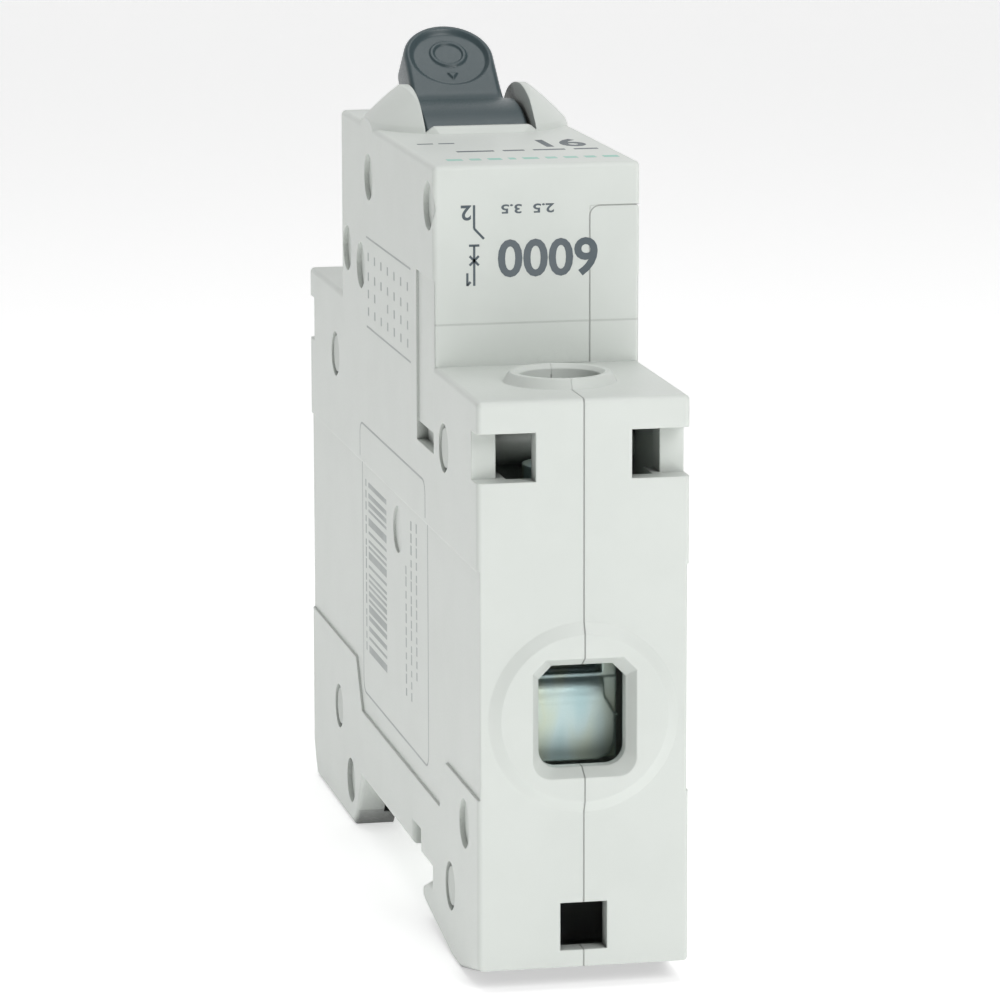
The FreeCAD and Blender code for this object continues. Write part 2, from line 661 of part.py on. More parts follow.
def make_fixed_contact():
    """The bent strip that carries the fixed contact and runs on under the arc plates as their runner."""
    face = closed_tip()
    turn = Rotation(Vector(0, 0, 1), CONTACT_TURN)
    along, normal = turn.multVec(Vector(1, 0, 0)), turn.multVec(Vector(0, -1, 0))
    gap, silver, thick = 0.08, 1.0, 1.2
    seat = face + normal * (gap + silver)
    front, back = seat - along * 2.2, seat + along * 2.6
    strip = new_body("fixed_contact_strip")
    low = S.floor_z.value + 0.1
    wall = -WALL_PLATE.value
    points = [(front.x, front.y), (back.x, back.y), (back.x + 1.0, low), (wall, low), (wall, 42.0)]
    pad(strip, "strip", "YZ", [bent_strip(points[::-1], thick)], -2.0, 2.0)
    tip = new_body("fixed_contact_tip")
    corners = [seat - along * 1.6, seat + along * 1.6, seat + along * 1.6 - normal * silver,
               seat - along * 1.6 - normal * silver]
    pad(tip, "tip", "YZ", [[(p.x, p.y) for p in corners]], -1.6, 1.6)


PLATE_FRONT, PLATE_BACK = -21.0, -4.2
STACK_LOW = 6.6


def make_arc_chute():
    """Steel arc plates, notched towards the contacts, between two fibre sides, and the upper runner."""
    plates = new_body("arc_plates")
    half = 6.3
    outline = [(-half, PLATE_FRONT), (half, PLATE_FRONT), (half, PLATE_BACK), (2.4, PLATE_BACK),
               (0.6, PLATE_BACK - 6.5), (-0.6, PLATE_BACK - 6.5), (-2.4, PLATE_BACK), (-half, PLATE_BACK)]
    count = int(S.plate_count.value)
    for number in range(count):
        low = S.floor_z + 2.6 + S.plate_pitch * number
        pad(plates, f"plate_{number}", "XY", [outline], low, low + S.plate_thick)
    top = STACK_LOW + S.plate_pitch.value * (count - 1) + 3.4
    sides = new_body("arc_chute_sides")
    for side in (-1, 1):
        pad(sides, f"side_{side + 1}", "YZ", [rect(PLATE_FRONT, STACK_LOW - 0.8, PLATE_BACK, top)],
            *across(side, half, half + 0.8))
    runner = new_body("upper_arc_runner")
    level = top - 1.2
    points = [(PLATE_FRONT, level), (PLATE_BACK - 1.2, level), (PLATE_BACK + 0.2, level + 5.4)]
    pad(runner, "runner", "YZ", [bent_strip(points, 1.0)], -half + 0.1, half - 0.1)


# ---------------------------------------------------------------- magnetic trip

PLUNGER_TRAVEL = 2.2


def make_magnetic_trip():
    """Coil on its former in a steel yoke, with the fixed core, plunger, return spring and striker pin."""
    centre = (0, -S.coil_y, S.coil_z)
    length = S.coil_turns * (S.coil_wire * 2 + 0.25)
    half = length / 2 + 1.2
    tube = S.coil_reach - S.coil_wire - 0.15
    bore = S.plunger_reach + 0.25
    former = new_body("coil_former", centre)
    pad(former, "tube", "XZ", [circle(0, 0, tube)], -half, half)
    for end, name in ((LINE, "line"), (LOAD, "load")):
        low, high = sorted((half * end, (half - 0.7) * end), key=lambda d: d.value)
        pad(former, f"{name}_flange", "XZ", [circle(0, 0, S.coil_reach + 0.9)], low, high)
    pocket(former, "bore", "XZ", [circle(0, 0, bore)], -half - 1, half + 1)
    make_spring("coil_winding", (0, -S.coil_y - length / 2 + S.coil_wire * 0.5, S.coil_z), ALONG_Y,
                S.coil_reach, S.coil_wire, S.coil_wire * 2 + 0.25, length - S.coil_wire)
    yoke = new_body("magnet_yoke", centre)
    drop = S.coil_reach + 1.4
    thick = 1.2
    frame = [(-half - thick, drop - 1.5), (-half, drop - 1.5), (-half, -drop), (half, -drop),
             (half, drop - 1.5), (half + thick, drop - 1.5), (half + thick, -drop - thick),
             (-half - thick, -drop - thick)]
    pad(yoke, "frame", "YZ", [frame], -4.5, 4.5)
    pocket(yoke, "striker_hole", "XZ", [circle(0, 0, S.plunger_reach + 0.25)], half - 1, half + thick + 1)
    core = new_body("fixed_core", centre)
    pad(core, "core", "XZ", [circle(0, 0, S.plunger_reach + 0.2)], -half, -half + 3.0)
    plunger = new_body("coil_plunger", centre)
    plunger_low = -half + 3.0 + 2.6
    pad(plunger, "slug", "XZ", [circle(0, 0, S.plunger_reach)], plunger_low, half - 1.2)
    striker = new_body("striker_pin", centre)
    pad(striker, "pin", "XZ", [circle(0, 0, 0.75)], half - 1.2, half + thick + 0.5)
    make_spring("plunger_spring", (0, -S.coil_y - half + 3.3, S.coil_z), ALONG_Y, 1.6, 0.25, 0.8, 2.0)
    lever = new_body("trip_lever", (0, PIVOTS["trip_axle"][0], PIVOTS["trip_axle"][1]))
    arm_face = -S.coil_y + half + thick + 1.6 - PIVOTS["trip_axle"][0]
    head = S.coil_z - PIVOTS["trip_axle"][1] + 1.8
    plate = [(-1.6, -4.6), (-0.6, -5.2), (1.8, -1.2), (1.8, 1.4), (arm_face + 1.2, 3.2),
             (arm_face + 1.2, head), (arm_face, head), (arm_face, 2.4), (-1.8, 1.2), (-1.8, -1.6)]
    pad(lever, "plate", "YZ", [plate], -2.0, 2.0)
    pocket(lever, "pivot", "YZ", [circle(0, 0, 0.8 + S.axle_play)], -3, 3)


# ---------------------------------------------------------------- thermal trip

def make_thermal_trip():
    """The bimetal strip on its bracket, set by one screw, with the braid from the contact arm."""
    bracket = new_body("bimetal_bracket")
    wall = WALL_PLATE.value
    points = [(wall - 8.4, S.floor_z + 0.1), (wall, S.floor_z + 0.1), (wall, S.bar_z.value)]
    pad(bracket, "bracket", "YZ", [bent_strip(points, 1.2)], -3.0, 3.0)
    strip = new_body("bimetal_strip")
    foot_z = S.floor_z + 1.3
    pad(strip, "strip", "YZ", [rect(17.6, foot_z, 18.5, 38.0)], -2.5, 2.5)
    screw = new_body("calibration_screw")
    pad(screw, "shank", "XZ", [circle(0, 14.0, 1.0)], 18.5, wall - 1.2)
    pad(screw, "head", "XZ", [circle(0, 14.0, 1.8)], wall - 3.0, wall - 1.2)


def make_braid():
    """The soft copper braid from the contact arm to the bimetal, as one bent bar."""
    points = [(10.6, S.carrier_z - 5.2), (13.2, 25.0), (15.4, 25.0), (17.4, 27.0)]
    braid = new_body("contact_braid")
    pad(braid, "braid", "YZ", [bent_strip(points, 1.4)], -1.5, 1.5)


# ---------------------------------------------------------------- terminals

def cut_skirt_corners(cage, end, half, jaw_top, skirt_low):
    """Narrow the skirt's rolled top and round its two lower corners."""
    low, high = sorted((as_dim(3.4 * end), as_dim(5.0 * end)), key=lambda d: d.value)
    for side in (-1, 1):
        beyond = (half + 0.5) * side
        shoulder = [(2.95 * side, jaw_top + 0.5), (2.95 * side, jaw_top - 1.9), (3.85 * side, jaw_top - 3.5),
                    (beyond, jaw_top - 3.5), (beyond, jaw_top + 0.5)]
        corner = [(2.4 * side, skirt_low - 0.5), (2.4 * side, skirt_low), (3.4 * side, skirt_low + 0.45),
                  (3.85 * side, skirt_low + 1.5), (beyond, skirt_low + 1.5), (beyond, skirt_low - 0.5)]
        edge = [(3.85 * side, jaw_top - 3.6), (3.85 * side, skirt_low + 1.4), (beyond, skirt_low + 1.4),
                (beyond, jaw_top - 3.6)]
        for name, shape in (("shoulder", shoulder), ("corner", corner), ("edge", edge)):
            pocket(cage, f"skirt_{name}_{side + 1}", "XZ", [shape], low, high)


def make_terminal(end):
    """Terminal bar, box clamp with its skirt, and clamp screw at one end."""
    name = "line" if end < 0 else "load"
    bar_low, bar_high = S.bar_z - S.bar_thick, S.bar_z
    bar = new_body(f"{name}_terminal_bar")
    outline = mirror_y([(WALL_PLATE, bar_high - TONGUE), (CHAMBER_IN + 0.6, bar_high - TONGUE),
                        (CHAMBER_IN + 0.6, bar_low), (CHAMBER_OUT - 0.4, bar_low), (CHAMBER_OUT - 0.4, bar_high),
                        (WALL_PLATE, bar_high)], end)
    pad(bar, "bar", "YZ", [outline], -2.7, 2.7)
    for number in range(3):
        groove_y = CHAMBER_OUT - 1.6 - 1.2 * number
        groove = mirror_y([(groove_y, bar_low - 0.5), (groove_y + 0.5, bar_low - 0.5), (groove_y + 0.25, bar_low + 0.3)],
                          end)
        pocket(bar, f"groove_{number}", "YZ", [groove], -3.0, 3.0)
    cage = new_body(f"{name}_clamp_cage", (0, S.terminal_y * end, 0))
    half = S.cage_width / 2
    wall = S.cage_wall
    jaw_top = bar_low - S.wire_gap
    top_low, top_high = bar_high + 6.6, bar_high + 8.8
    loop = [(-half, jaw_top - 1.7), (half, jaw_top - 1.7), (half, top_high), (-half, top_high)]
    pad(cage, "loop", "XZ", [loop], -3.3, 3.3)
    window = rect(-half + wall, jaw_top, half - wall, top_low)
    pocket(cage, "window", "XZ", [window], -4, 4)
    skirt_face = CHAMBER_OUT - S.terminal_y - 0.35
    skirt_low = jaw_top - 7.3
    skirt = [(2.6, jaw_top), (2.9, jaw_top, 0.45 * end), (skirt_face, jaw_top - 2.5), (skirt_face, skirt_low),
             (skirt_face - 0.9, skirt_low), (skirt_face - 0.9, jaw_top - 1.7), (2.6, jaw_top - 1.7)]
    pad(cage, "skirt", "YZ", [mirror_y(skirt, end)], -half, half)
    cut_skirt_corners(cage, end, half, jaw_top, skirt_low)
    for number in range(3):
        ridge_y = (2.2 - 1.6 * number) * end
        ridge = [(ridge_y - 0.25, jaw_top - 0.2), (ridge_y + 0.25, jaw_top - 0.2), (ridge_y, jaw_top + 0.25)]
        pad(cage, f"ridge_{number}", "YZ", [ridge], -half + wall, half - wall)
    pocket(cage, "screw_hole", "XY", [circle(0, 0, S.screw_shank + S.axle_play)], top_low - 1, top_high + 1)
    screw = new_body(f"{name}_clamp_screw", (0, S.terminal_y * end, 0))
    head_low = S.screw_top_z - 2.6
    pad(screw, "head", "XY", [circle(0, 0, S.screw_head)], head_low, S.screw_top_z)
    pad(screw, "shank", "XY", [circle(0, 0, S.screw_shank)], bar_high + 0.5, head_low)
    pad(screw, "tip", "XY", [circle(0, 0, S.screw_shank - 0.6)], bar_high + 0.05, bar_high + 0.5)
    slot = rect(-0.55, -S.screw_head - 1, 0.55, S.screw_head + 1)
    pocket(screw, "slot", "XY", [slot], S.screw_top_z - 1.2, S.screw_top_z + 1)
    cross = rect(-1.9, -0.5, 1.9, 0.5)
    pocket(screw, "cross", "XY", [cross], S.screw_top_z - 1.6, S.screw_top_z + 1)


# ---------------------------------------------------------------- rail clip

CLIP_TRAVEL = 3.5


def make_rail_clip():
    """The sliding clip in the load foot, with a bevelled nose and a screwdriver slot."""
    body = new_body("rail_clip")
    half = S.clip_width / 2
    foot = -S.foot_depth
    nose = RAIL_EDGE - S.clip_grip
    side = [(nose, -2.6), (nose + 2.4, foot + 0.6), (S.load_face - 0.4, foot + 0.6),
            (S.load_face - 0.4, -1.2), (nose + 0.4, -1.2), (nose, -1.6)]
    pad(body, "slide", "YZ", [side], -half, half)
    wing = S.clip_width / 2 + 1.2
    wings = rect(RAIL_EDGE + 5.0, foot + 1.7, S.load_face - CLIP_TRAVEL - 1.0, foot + 2.9)
    pad(body, "wings", "YZ", [wings], -wing, wing)
    slot = rect(-2.2, S.load_face - 5.0, 2.2, S.load_face - 2.2)
    pocket(body, "tool_slot", "XY", [slot], foot - 1, foot + 2.6)


for half_side in (-1, 1):
    make_housing(half_side)
make_rivets()
make_toggle()
pin("toggle_axle", S.hub_y, S.hub_z, S.axle_bore, AXLE_HALF)
make_spring("toggle_spring", (S.hub_width / 2 + 0.5, S.hub_y, S.hub_z), ALONG_X, 2.2, 0.3, 0.65, 1.3)
make_link()
make_carrier()
pin("carrier_axle", S.carrier_y, S.carrier_z, 1.2, AXLE_HALF)
make_moving_contact()
make_spring("contact_spring", (S.carrier_width / 2 + 0.5, S.carrier_y, S.carrier_z), ALONG_X,
            1.9, 0.3, 0.7, 2.65)
make_fixed_contact()
make_arc_chute()
make_magnetic_trip()
pin("trip_axle", PIVOTS["trip_axle"][0], PIVOTS["trip_axle"][1], PIVOTS["trip_axle"][2], AXLE_HALF)
make_thermal_trip()
make_braid()
for terminal_end in (LINE, LOAD):
    make_terminal(terminal_end)
make_rail_clip()
doc.recompute()

for feature in doc.Objects:
    if "Invalid" in feature.State or "Error" in feature.State:
        raise ValueError(f"{feature.Label} failed: {feature.State}")
for node in nodes:
    if node.Shape.isNull() or not node.Shape.isValid():
        raise ValueError(f"{node.Label} has no valid shape")

os.makedirs("parts", exist_ok=True)
for node in nodes:
    node.Shape.exportStep(f"parts/{node.Label}.step")
    box = node.Shape.BoundBox
    print(f"{node.Label}: {len(node.Shape.Solids)} solids, {node.Shape.Volume:.1f} mm3, "
          f"x {box.XMin:.2f}..{box.XMax:.2f}, y {box.YMin:.2f}..{box.YMax:.2f}, z {box.ZMin:.2f}..{box.ZMax:.2f}")
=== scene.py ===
"""Looks of a slim single-pole circuit breaker: finishes, moulded handle, printed marks and a studio.

Everything is in metres, in the breaker's own frame: X is the width, Y runs from the line end to the
load end, Z points away from the rail, and the origin is the middle of the rail seat.
"""

import json
import logging
import math
from dataclasses import dataclass, field
from enum import Enum

import bpy
import numpy as np
from mathutils import Matrix, Vector

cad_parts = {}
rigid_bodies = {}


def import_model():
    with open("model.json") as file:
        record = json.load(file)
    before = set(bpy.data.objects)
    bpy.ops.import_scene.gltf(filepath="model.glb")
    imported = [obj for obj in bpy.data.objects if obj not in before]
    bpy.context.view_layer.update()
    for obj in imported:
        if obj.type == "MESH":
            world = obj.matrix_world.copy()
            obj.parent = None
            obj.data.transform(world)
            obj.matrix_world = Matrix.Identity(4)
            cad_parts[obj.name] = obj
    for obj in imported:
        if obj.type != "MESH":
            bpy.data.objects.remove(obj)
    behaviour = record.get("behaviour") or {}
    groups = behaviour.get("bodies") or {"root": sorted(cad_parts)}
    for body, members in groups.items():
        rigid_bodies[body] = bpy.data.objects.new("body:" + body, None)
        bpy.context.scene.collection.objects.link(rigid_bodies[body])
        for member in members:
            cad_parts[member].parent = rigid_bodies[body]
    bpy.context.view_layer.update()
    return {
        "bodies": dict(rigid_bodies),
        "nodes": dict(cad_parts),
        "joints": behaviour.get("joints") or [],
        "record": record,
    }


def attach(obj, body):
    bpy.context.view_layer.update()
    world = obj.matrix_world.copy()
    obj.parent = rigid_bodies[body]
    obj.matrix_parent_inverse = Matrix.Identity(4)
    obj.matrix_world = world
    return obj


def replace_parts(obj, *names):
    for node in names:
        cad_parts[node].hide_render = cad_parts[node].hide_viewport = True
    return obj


MM = 0.001
log = logging.getLogger("breaker")


# ---------------------------------------------------------------- surfaces
@dataclass
class Shells:
    """Closed surfaces collected into one piece, in millimetres until the piece is made.

    Args:
        points: One array of corners for each surface.
        faces: The quads and triangles of those surfaces, counted over all the corners.
    """

    points: list = field(default_factory=list)
    faces: list = field(default_factory=list)

    def add(self, points: np.ndarray, faces: list) -> None:
        """Takes in one surface.

        Args:
            points: Corners, one row of X, Y and Z each.
            faces: Lists of corner numbers, counterclockwise from outside.
        """
        start = sum(len(rows) for rows in self.points)
        self.points.append(np.asarray(points, float))
        self.faces.extend((np.asarray(face) + start).tolist() for face in faces)

    def add_rings(self, rings: np.ndarray) -> None:
        """Takes in a closed skin over a stack of rings, its first and last rings capped.

        Args:
            rings: Corners as (ring, place round it, XYZ), turning clockwise seen from past the last ring.
        """
        count, around = rings.shape[:2]
        number = np.arange(count * around).reshape(count, around)
        here, over = number[:-1], number[1:]
        quads = np.stack([here, np.roll(here, -1, 1), np.roll(over, -1, 1), over], -1).reshape(-1, 4)
        self.add(rings.reshape(-1, 3), [*quads[:, ::-1], number[0], number[-1][::-1]])

    def add_prism(self, outline: np.ndarray, low: float, high: float, frame: "Plane") -> None:
        """Takes in a flat outline given thickness.

        Args:
            outline: Corners in the plane, counterclockwise.
            low: Height of its underside over the plane.
            high: Height of its top.
            frame: The plane that the outline lies in.
        """
        outline = np.asarray(outline, float)
        self.add_rings(np.stack([frame.place(outline, high), frame.place(outline, low)]))

    def make(self, name: str, body: str, finish: "Finish", crease: float = 35.0) -> bpy.types.Object:
        """Makes the piece, rides it on its body and gives it its finish.

        Args:
            name: The piece's name.
            body: The moving body that it belongs to.
            finish: What it is made of.
            crease: Edges sharper than this many degrees stay sharp.

        Returns:
            The Blender object.
        """
        mesh = bpy.data.meshes.new(name)
        mesh.from_pydata((np.concatenate(self.points) * MM).tolist(), [], self.faces)
        mesh.update()
        mesh.shade_smooth()
        mesh.set_sharp_from_angle(angle=math.radians(crease))
        piece = bpy.data.objects.new(name, mesh)
        bpy.context.scene.collection.objects.link(piece)
        piece.data.materials.append(finish.material())
        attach(piece, body)
        log.info("%s: %d faces, rides on %s", name, len(mesh.polygons), body)
        return piece


@dataclass(frozen=True)
class Plane:
    """A flat drawing surface in space, in millimetres.

    Args:
        origin: Its zero point.
        across: The direction of its first coordinate.
        up: The direction of its second coordinate.
    """

    origin: tuple
    across: tuple
    up: tuple

    def place(self, points: np.ndarray, height: float) -> np.ndarray:
        """Puts flat points into space.

        Args:
            points: Rows of two coordinates in the plane.
            height: Distance above the plane.

        Returns:
            Rows of X, Y and Z.
        """
        points = np.asarray(points, float)
        across, up = np.array(self.across, float), np.array(self.up, float)
        flat = points[:, :1] * across + points[:, 1:2] * up
        return np.array(self.origin, float) + flat + height * np.cross(across, up)


def arc(centre: tuple, radius: float, start: float, stop: float, steps: int) -> np.ndarray:
    """Points along a round stretch.

    Args:
        centre: Its centre in the plane.
        radius: Its radius.
        start: First angle in degrees.
        stop: Last angle in degrees.
        steps: How many chords it is drawn with.

    Returns:
        Rows of two coordinates.
    """
    turn = np.radians(np.linspace(start, stop, steps + 1))
    return np.array(centre) + radius * np.stack([np.cos(turn), np.sin(turn)], -1)


def rounded(low: tuple, high: tuple, radius: float) -> np.ndarray:
    """A rectangle with round corners, counterclockwise.

    Args:
        low: Its lower left corner.
        high: Its upper right corner.
        radius: Its corners' radius.

    Returns:
        Rows of two coordinates.
    """
    (x0, y0), (x1, y1) = low, high
    centres = [(x1 - radius, y0 + radius), (x1 - radius, y1 - radius),
               (x0 + radius, y1 - radius), (x0 + radius, y0 + radius)]
    return np.concatenate([arc(c, radius, 90 * n - 90, 90 * n, 6) for n, c in enumerate(centres)])


def bar(start: tuple, stop: tuple, width: float) -> np.ndarray:
    """A straight stroke as a rectangle, counterclockwise.

    Args:
        start: One end of its middle line.
        stop: The other end.
        width: How wide it is.

    Returns:
        Four rows of two coordinates.
    """
    start, stop = np.array(start, float), np.array(stop, float)
    along = (stop - start) / np.linalg.norm(stop - start)
    side = np.array([-along[1], along[0]]) * width / 2
    return np.array([start - side, stop - side, stop + side, start + side])


# ---------------------------------------------------------------- shader parts
class Wiring:
    """Short calls that add and join the nodes of one shader tree.

    Args:
        tree: The node tree to work in.
    """

    def __init__(self, tree: bpy.types.NodeTree) -> None:
        self.tree = tree

    def node(self, kind: str, inputs: dict | None = None, **settings) -> bpy.types.Node:
        """Adds a node.

        Args:
            kind: Its Blender type, without the Shader prefix of the common ones.
            inputs: Socket names or numbers, each with a value or a socket to link from.
            settings: Properties to set on it.

        Returns:
            The node.
        """
        made = self.tree.nodes.new(kind)
        for name, value in settings.items():
            setattr(made, name, value)
        for name, value in (inputs or {}).items():
            if isinstance(value, bpy.types.NodeSocket):
                self.tree.links.new(value, made.inputs[name])
            else:
                made.inputs[name].default_value = value
        return made

    def math(self, operation: str, *values) -> bpy.types.NodeSocket:
        """One sum on numbers.

        Args:
            operation: The Math node's operation.
            values: Numbers or sockets, in order.

        Returns:
            The result's socket.
        """
        return self.node("ShaderNodeMath", dict(enumerate(values)), operation=operation).outputs[0]

    def ramp(self, value, low: float, high: float, to_low=0.0, to_high=1.0) -> bpy.types.NodeSocket:
        """A clamped smooth step.

        Args:
            value: The socket to read.
            low: Where the step starts.
            high: Where it ends.
            to_low: Result at its start.
            to_high: Result at its end.

        Returns:
            The result's socket.
        """
        inputs = {"Value": value, "From Min": low, "From Max": high, "To Min": to_low, "To Max": to_high}
        return self.node("ShaderNodeMapRange", inputs, interpolation_type="SMOOTHSTEP").outputs[0]

    def mix(self, amount, first, second) -> bpy.types.NodeSocket:
        """A blend of two colours.

        Args:
            amount: Share of the second one, a number or a socket.
            first: A colour or a socket.
            second: A colour or a socket.

        Returns:
            The blended colour's socket.
        """
        made = self.node("ShaderNodeMix", data_type="RGBA")
        for name, value in (("Factor", amount), ("A", first), ("B", second)):
            wanted = "RGBA" if name in "AB" else "VALUE"
            socket = next(s for s in made.inputs if s.name == name and s.type == wanted and s.enabled)
            if isinstance(value, bpy.types.NodeSocket):
                self.tree.links.new(value, socket)
            else:
                socket.default_value = value
        return next(s for s in made.outputs if s.type == "RGBA" and s.enabled)


class Effect(Enum):
    """Shader groups that several finishes share."""

    SURFACE = "moulded_or_cut_surface"
    CREVICE = "shade_in_corners"


def group_tree(effect: Effect, inputs: dict, outputs: dict) -> bpy.types.NodeTree:
    """An empty shader group with named sockets.

    Args:
        effect: Which group.
        inputs: Socket names with their resting values.
        outputs: Socket names with their socket types.

    Returns:
        The new node tree.
    """
    tree = bpy.data.node_groups.new(effect.value, "ShaderNodeTree")
    for name, value in inputs.items():
        kind = "NodeSocketVector" if isinstance(value, tuple) else "NodeSocketFloat"
        socket = tree.interface.new_socket(name, in_out="INPUT", socket_type=kind)
        socket.default_value = value
    for name, kind in outputs.items():
        tree.interface.new_socket(name, in_out="OUTPUT", socket_type=kind)
    return tree


def surface_group() -> bpy.types.NodeTree:
    """Softened edges, fine grain and slow mottling, from the surface's own place in the object.

    Returns:
        A group with the outputs Normal, Edge, Grain and Mottle.
    """
    tree = bpy.data.node_groups.get(Effect.SURFACE.value)
    if tree:
        return tree
    inputs = {"Edge Radius": 0.2 * MM, "Grain Size": 0.3 * MM, "Stretch": (1.0, 1.0, 1.0),
              "Depth": 0.002 * MM}
    outputs = {"Normal": "NodeSocketVector", "Edge": "NodeSocketFloat", "Grain": "NodeSocketFloat",
               "Mottle": "NodeSocketFloat"}
    tree = group_tree(Effect.SURFACE, inputs, outputs)
    wire = Wiring(tree)
    given = wire.node("NodeGroupInput").outputs
    place = wire.node("ShaderNodeTexCoord").outputs["Object"]
    stretched = wire.node("ShaderNodeVectorMath", {0: place, 1: given["Stretch"]}, operation="MULTIPLY")
    fineness = wire.math("DIVIDE", 1.0, given["Grain Size"])
    noise = {"Vector": stretched.outputs[0], "Scale": fineness, "Detail": 3.0, "Roughness": 0.6}
    grain = wire.node("ShaderNodeTexNoise", noise).outputs[0]
    slow = wire.node("ShaderNodeTexNoise", {"Vector": place, "Scale": 160.0, "Detail": 4.0}).outputs[0]
    soft = wire.node("ShaderNodeBevel", {"Radius": given["Edge Radius"]}, samples=6).outputs[0]
    bump = {"Height": grain, "Distance": given["Depth"], "Strength": 1.0, "Normal": soft}
    normal = wire.node("ShaderNodeBump", bump).outputs[0]
    flat = wire.node("ShaderNodeNewGeometry").outputs["Normal"]
    # Edge mask, 1 along edges; the finishes paint a highlight with it.
    facing = wire.node("ShaderNodeVectorMath", {0: soft, 1: flat}, operation="DOT_PRODUCT").outputs["Value"]
    edge = wire.ramp(facing, 0.995, 0.8)
    wire.node("NodeGroupOutput", {"Normal": normal, "Edge": edge, "Grain": grain,
                                  "Mottle": wire.ramp(slow, 0.35, 0.7)})
    return tree


def crevice_group() -> bpy.types.NodeTree:
    """How closed in a place is, for the shade that gathers in corners and inside the case.

    Returns:
        A group with the outputs Crevice and Deep.
    """
    tree = bpy.data.node_groups.get(Effect.CREVICE.value)
    if tree:
        return tree
    inputs = {"Reach": 1.0 * MM, "Deep Reach": 9.0 * MM}
    tree = group_tree(Effect.CREVICE, inputs, {"Crevice": "NodeSocketFloat", "Deep": "NodeSocketFloat"})
    wire = Wiring(tree)
    given = wire.node("NodeGroupInput").outputs
    near, far = (wire.node("ShaderNodeAmbientOcclusion", {"Distance": given[reach]}, samples=6)
                 for reach in inputs)
    # Painted shade: Crevice and Deep darken the colour where ambient occlusion finds the surface closed in.
    wire.node("NodeGroupOutput", {"Crevice": wire.ramp(near.outputs["AO"], 0.9, 0.25),
                                  "Deep": wire.ramp(far.outputs["AO"], 0.38, 0.14)})
    return tree


# ---------------------------------------------------------------- finishes
@dataclass(frozen=True)
class Finish:
    """What a surface is made of.

    Args:
        slot: The record's material slot.
        colour: Its main colour, linear RGB.
        other: The colour that it drifts towards in patches.
        drift: How much of that colour the patches hold.
        roughness: How matt it is.
        metallic: 1 for metal, 0 for the rest.
        edge_radius: Radius that its edges look softened to, in millimetres.
        edge_highlight: How much a painted highlight lightens its edges.
        grain: Size of its grain in millimetres.
        depth: Height of its grain in millimetres.
        stretch: How the grain is drawn out, as a factor along each axis.
        corner_shade: How much painted shade darkens its corners.
        inner: How much painted shade darkens it deep inside the case, nearly to black.
    """

    slot: str
    colour: tuple
    other: tuple
    drift: float = 0.5
    roughness: float = 0.45
    metallic: float = 0.0
    edge_radius: float = 0.15
    edge_highlight: float = 0.15
    grain: float = 0.25
    depth: float = 0.004
    stretch: tuple = (1.0, 1.0, 1.0)
    corner_shade: float = 0.4
    inner: float = 0.0

    def material(self) -> bpy.types.Material:
        """The Blender material, made once for each finish.

        Returns:
            The material.
        """
        name = f"{self.slot}_{type(self).__name__.lower()}_{round(self.colour[0] * 100)}"
        made = bpy.data.materials.get(name)
        if made:
            return made
        made = bpy.data.materials.new(name)
        made.use_nodes = True
        made.node_tree.nodes.clear()
        wire = Wiring(made.node_tree)
        surface = wire.node("ShaderNodeGroup", node_tree=surface_group())
        surface.inputs["Edge Radius"].default_value = self.edge_radius * MM
        surface.inputs["Grain Size"].default_value = self.grain * MM
        surface.inputs["Depth"].default_value = self.depth * MM
        surface.inputs["Stretch"].default_value = self.stretch
        crevice = wire.node("ShaderNodeGroup", node_tree=crevice_group())
        colour = self.tint(wire, surface.outputs)
        # Painted highlight: the colour lightens along every edge that the bevel mask finds.
        pale = tuple(min(1.0, c * 1.25 + 0.02) for c in self.colour)
        colour = wire.mix(wire.math("MULTIPLY", surface.outputs["Edge"], self.edge_highlight), colour, (*pale, 1))
        # Painted shade: the colour darkens in corners, where the near ambient occlusion is low.
        dark = tuple(c * 0.35 for c in self.colour)
        shade = wire.math("MULTIPLY", crevice.outputs["Crevice"], self.corner_shade)
        colour = wire.mix(shade, colour, (*dark, 1))
        # Painted shade: deep inside the case the colour goes nearly black, where the far ambient occlusion
        # is low.
        black = tuple(c * 0.06 for c in self.colour)
        colour = wire.mix(wire.math("MULTIPLY", crevice.outputs["Deep"], self.inner), colour, (*black, 1))
        rough = wire.ramp(surface.outputs["Grain"], 0.3, 0.7, self.roughness - 0.06, self.roughness + 0.06)
        principled = wire.node("ShaderNodeBsdfPrincipled", {
            "Base Color": colour, "Roughness": rough, "Metallic": self.metallic,
            "Normal": self.relief(wire, surface.outputs["Normal"])})
        self.trim(principled)
        wire.node("ShaderNodeOutputMaterial", {"Surface": principled.outputs[0]})
        return made

    def tint(self, wire: Wiring, surface: bpy.types.NodeOutputs) -> bpy.types.NodeSocket:
        """The colour before the painted edge highlight and the painted shade.

        Args:
            wire: The material's wiring.
            surface: Outputs of the surface group.

        Returns:
            The colour's socket.
        """
        patches = wire.math("MULTIPLY", surface["Mottle"], self.drift)
        return wire.mix(patches, (*self.colour, 1), (*self.other, 1))

    def relief(self, wire: Wiring, normal: bpy.types.NodeSocket) -> bpy.types.NodeSocket:
        """The normal, with any relief beyond the grain.

        Args:
            wire: The material's wiring.
            normal: The softened and grained normal.

        Returns:
            The normal's socket.
        """
        return normal

    def trim(self, principled: bpy.types.Node) -> None:
        """Sets what else this finish needs on its shader.

        Args:
            principled: The material's Principled node.
        """


